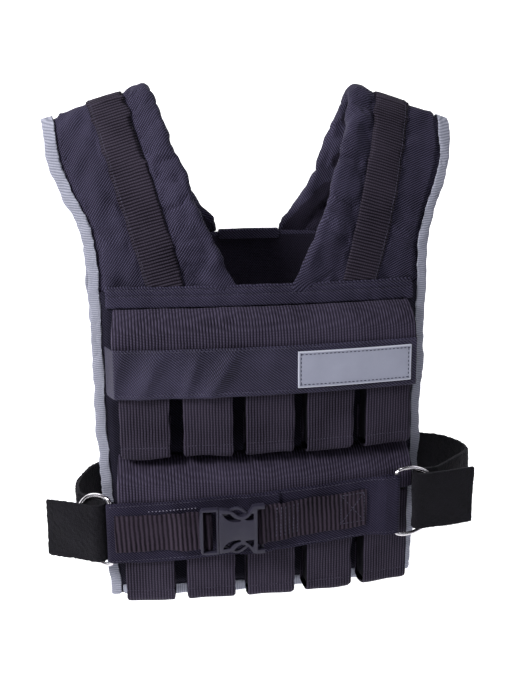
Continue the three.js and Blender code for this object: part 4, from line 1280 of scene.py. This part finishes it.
@dataclass
class Belt:
    """The belt's two ends with their webbing."""

    slope: float = 0.05
    middle_height: float = -0.4345
    wave: float = 0.0007
    rib_pitch: float = 0.0047
    rib_depth: float = 0.0003
    seam_rise: float = 0.0295
    seam_spans: tuple[tuple[float, float], tuple[float, float]] = ((-0.163, 0.006), (-0.018, 0.132))
    band_sizes: tuple[tuple[float, float], tuple[float, float]] = ((0.2, 0.067), (0.18, 0.067))

    def _height(self, x: float, rise: float) -> float:
        """Height of a line that runs with the belt."""
        return self.middle_height + self.slope * x + rise

    def build(self) -> None:
        """Makes the belt's cloth and webbing."""
        self.bands, self.webbings = [], []
        for side, size in zip(Side, self.band_sizes):
            band = Piece.cut(f"belt_band_{side.word}", Grid(x=0.004, z=0.004))
            place = band.points()
            relief = np.abs(Ripple(0.035, 81 + side.value, (1, 1, 0.6)).at(place)) * self.wave
            place[:, 2] += Ripple(0.05, 84 + side.value).at(place) * 0.0008
            place[:, 1] -= relief * 0.6
            band.move(place).lay_front(self.slope)
            self.bands.append(band)
            webbing = Piece.cut(f"belt_webbing_{side.word}", Grid(x=0.0025, z=0.005))
            place = webbing.points()
            ribs = np.sin(place[:, 0] * (TURN / self.rib_pitch) + Ripple(0.03, 88).at(place) * 0.9)
            place[:, 2] += Ripple(0.02, 90 + side.value).at(place) * 0.0006
            webbing.move(place)
            webbing.push(ribs * self.rib_depth)
            webbing.lay_front(self.slope)
            self.webbings.append(webbing)

    def dress(self) -> None:
        """Finishes the belt and sews it."""
        for band in self.bands:
            band.dress("twill", BELT_TWILL)
        for webbing in self.webbings:
            webbing.dress("webbing", BELT_RIB)
        edges = Sewing("belt_stitches")
        for band, span in zip(self.bands, self.seam_spans):
            tree = band.tree()
            for rise in (self.seam_rise, -self.seam_rise):
                line = [Vector((x, 0, self._height(x, rise))) for x in np.linspace(*span, 12)]
                edges.row(line, tree, FROM_FRONT)
        edges.place("twill", THREAD)
        self._box()
        self._dots()

    def _box(self) -> None:
        """Sews the webbing's right end down with a crossed box and closes the buckle's sleeve."""
        box = Sewing("belt_box_stitches", Stitch(0.0027, 0.0009, 0.00045))
        tree = self.webbings[1].tree()

        def at(x: float, rise: float) -> Vector:
            """A point on the belt's webbing."""
            return Vector((x, 0, self._height(x, rise + 0.002)))

        left, right, half = 0.073, 0.0985, 0.0155
        corners = [at(left, -half), at(right, -half), at(right, half), at(left, half), at(left, -half)]
        box.row(corners, tree, FROM_FRONT)
        box.row([at(left, -half), at(right, half)], tree, FROM_FRONT)
        box.row([at(left, half), at(right, -half)], tree, FROM_FRONT)
        for x in np.linspace(0.003, 0.026, 6):
            box.row([at(x, -half), at(x + 0.001, half)], tree, FROM_FRONT)
        box.place("webbing", THREAD)

    def _dots(self) -> None:
        """Sews the short pale row above the left webbing."""
        dots = Sewing("belt_pale_stitches", Stitch(0.0014, 0.0022, 0.0005))
        line = [Vector((x, 0, self._height(x, 0.0225))) for x in np.linspace(-0.125, -0.078, 6)]
        dots.row(line, self.bands[0].tree(), FROM_FRONT)
        dots.place("webbing", PALE_THREAD)


@dataclass
class Buckle:
    """The two halves of the side-release buckle."""

    bevel: float = 0.0007
    nodes: tuple[str, str] = ("buckle_prongs", "buckle_socket")

    def build(self) -> None:
        """Makes both halves with rounded edges."""
        self.halves = []
        for node in self.nodes:
            half = Piece.cut(node, Grid(rounds=0))
            modifier = half.thing.modifiers.new("rounded edges", "BEVEL")
            modifier.width, modifier.segments = self.bevel, 3
            modifier.limit_method, modifier.angle_limit = "ANGLE", math.radians(28)
            half.settle()
            self.halves.append(half)

    def dress(self) -> None:
        """Finishes the buckle."""
        for half in self.halves:
            half.dress("plastic", PLASTIC).crease(40)


@dataclass
class SideFitting:
    """A plated ring and the fleecy side strap through it."""

    side: Side
    nap: float = 0.00025
    sag: float = 0.0007
    seed: int = 501
    fibres: int = 5000
    fibre_length: float = 0.0016
    fibre_radius: float = 0.00011
    sewn_from: float = 0.1285
    sewn_to: float = 0.15

    def build(self) -> None:
        """Makes the ring and the strap."""
        word = self.side.word
        self.ring = Piece.cut(f"ring_{word}", Grid())
        self.strap = Piece.cut(f"side_strap_{word}", Grid(x=0.004, y=0.004, z=0.004))
        place = self.strap.points()
        seed = 101 + self.side.value
        relief = Ripple(0.004, seed).at(place) * self.nap + Ripple(0.045, seed + 2).at(place) * self.sag
        self.strap.push(np.clip(relief, -0.001, 0.001))
        self.strap.lay_front()
        self.fuzz = self._fuzz()

    def _fuzz(self) -> Piece:
        """Makes the loose fibres that stand on the strap's cloth."""
        mesh = self.strap.thing.data
        chance = np.random.default_rng(self.seed + self.side.value)
        faces = chance.integers(0, len(mesh.polygons), self.fibres)
        points, triangles = [], []
        for index in faces:
            polygon = mesh.polygons[int(index)]
            lean = Vector(chance.normal(0, 0.5, 3))
            length = self.fibre_length * chance.uniform(0.4, 1.0)
            tip = polygon.center + (polygon.normal + lean) * length
            side = polygon.normal.orthogonal() * self.fibre_radius
            start = len(points)
            points += [polygon.center + side, polygon.center - side,
                       polygon.center + polygon.normal.cross(side), tip]
            triangles += [(start, start + 1, start + 3), (start + 1, start + 2, start + 3),
                          (start + 2, start, start + 3)]
        return Piece.of_mesh(f"side_strap_fuzz_{self.side.word}", points, triangles)

    def dress(self) -> None:
        """Finishes the ring and the strap."""
        self.ring.dress("chrome", CHROME)
        self.strap.dress("fleece", FLEECE)
        self.fuzz.dress("fleece", FLEECE)
        place = self.strap.points()
        rear = place[place[:, 1] > 0.03]
        low, high = rear.min(axis=0), rear.max(axis=0)
        side = self.side.value
        near, far = side * self.sewn_from, side * self.sewn_to
        bottom, top = low[2] + 0.006, high[2] - 0.006
        corners = [(near, bottom), (far, bottom), (far, top), (near, top), (near, bottom)]
        lines = [corners, [(near, bottom), (far, top)], [(near, top), (far, bottom)]]
        sewing = Sewing(f"side_strap_stitches_{self.side.word}")
        tree = self.strap.tree()
        for line in lines:
            sewing.row([Vector((x, 0, z)) for x, z in line], tree, FROM_BEHIND)
        sewing.place("fleece", THREAD)


def main() -> None:
    """Builds and dresses the vest's parts in order."""
    logging.basicConfig(level=logging.INFO, format="%(name)s: %(message)s", stream=sys.stdout)
    Studio().build()
    parts = [
        *(Panel(face) for face in Face),
        *(ShoulderStrap(side) for side in Side),
        PocketRow("upper", 201),
        PocketRow("lower", 301),
        Flap(),
        Belt(),
        Buckle(),
        *(SideFitting(side) for side in Side),
    ]
    for part in parts:
        part.build()
        part.dress()
        LOG.info("%s done", type(part).__name__)


if __name__ == "__main__":
    main()
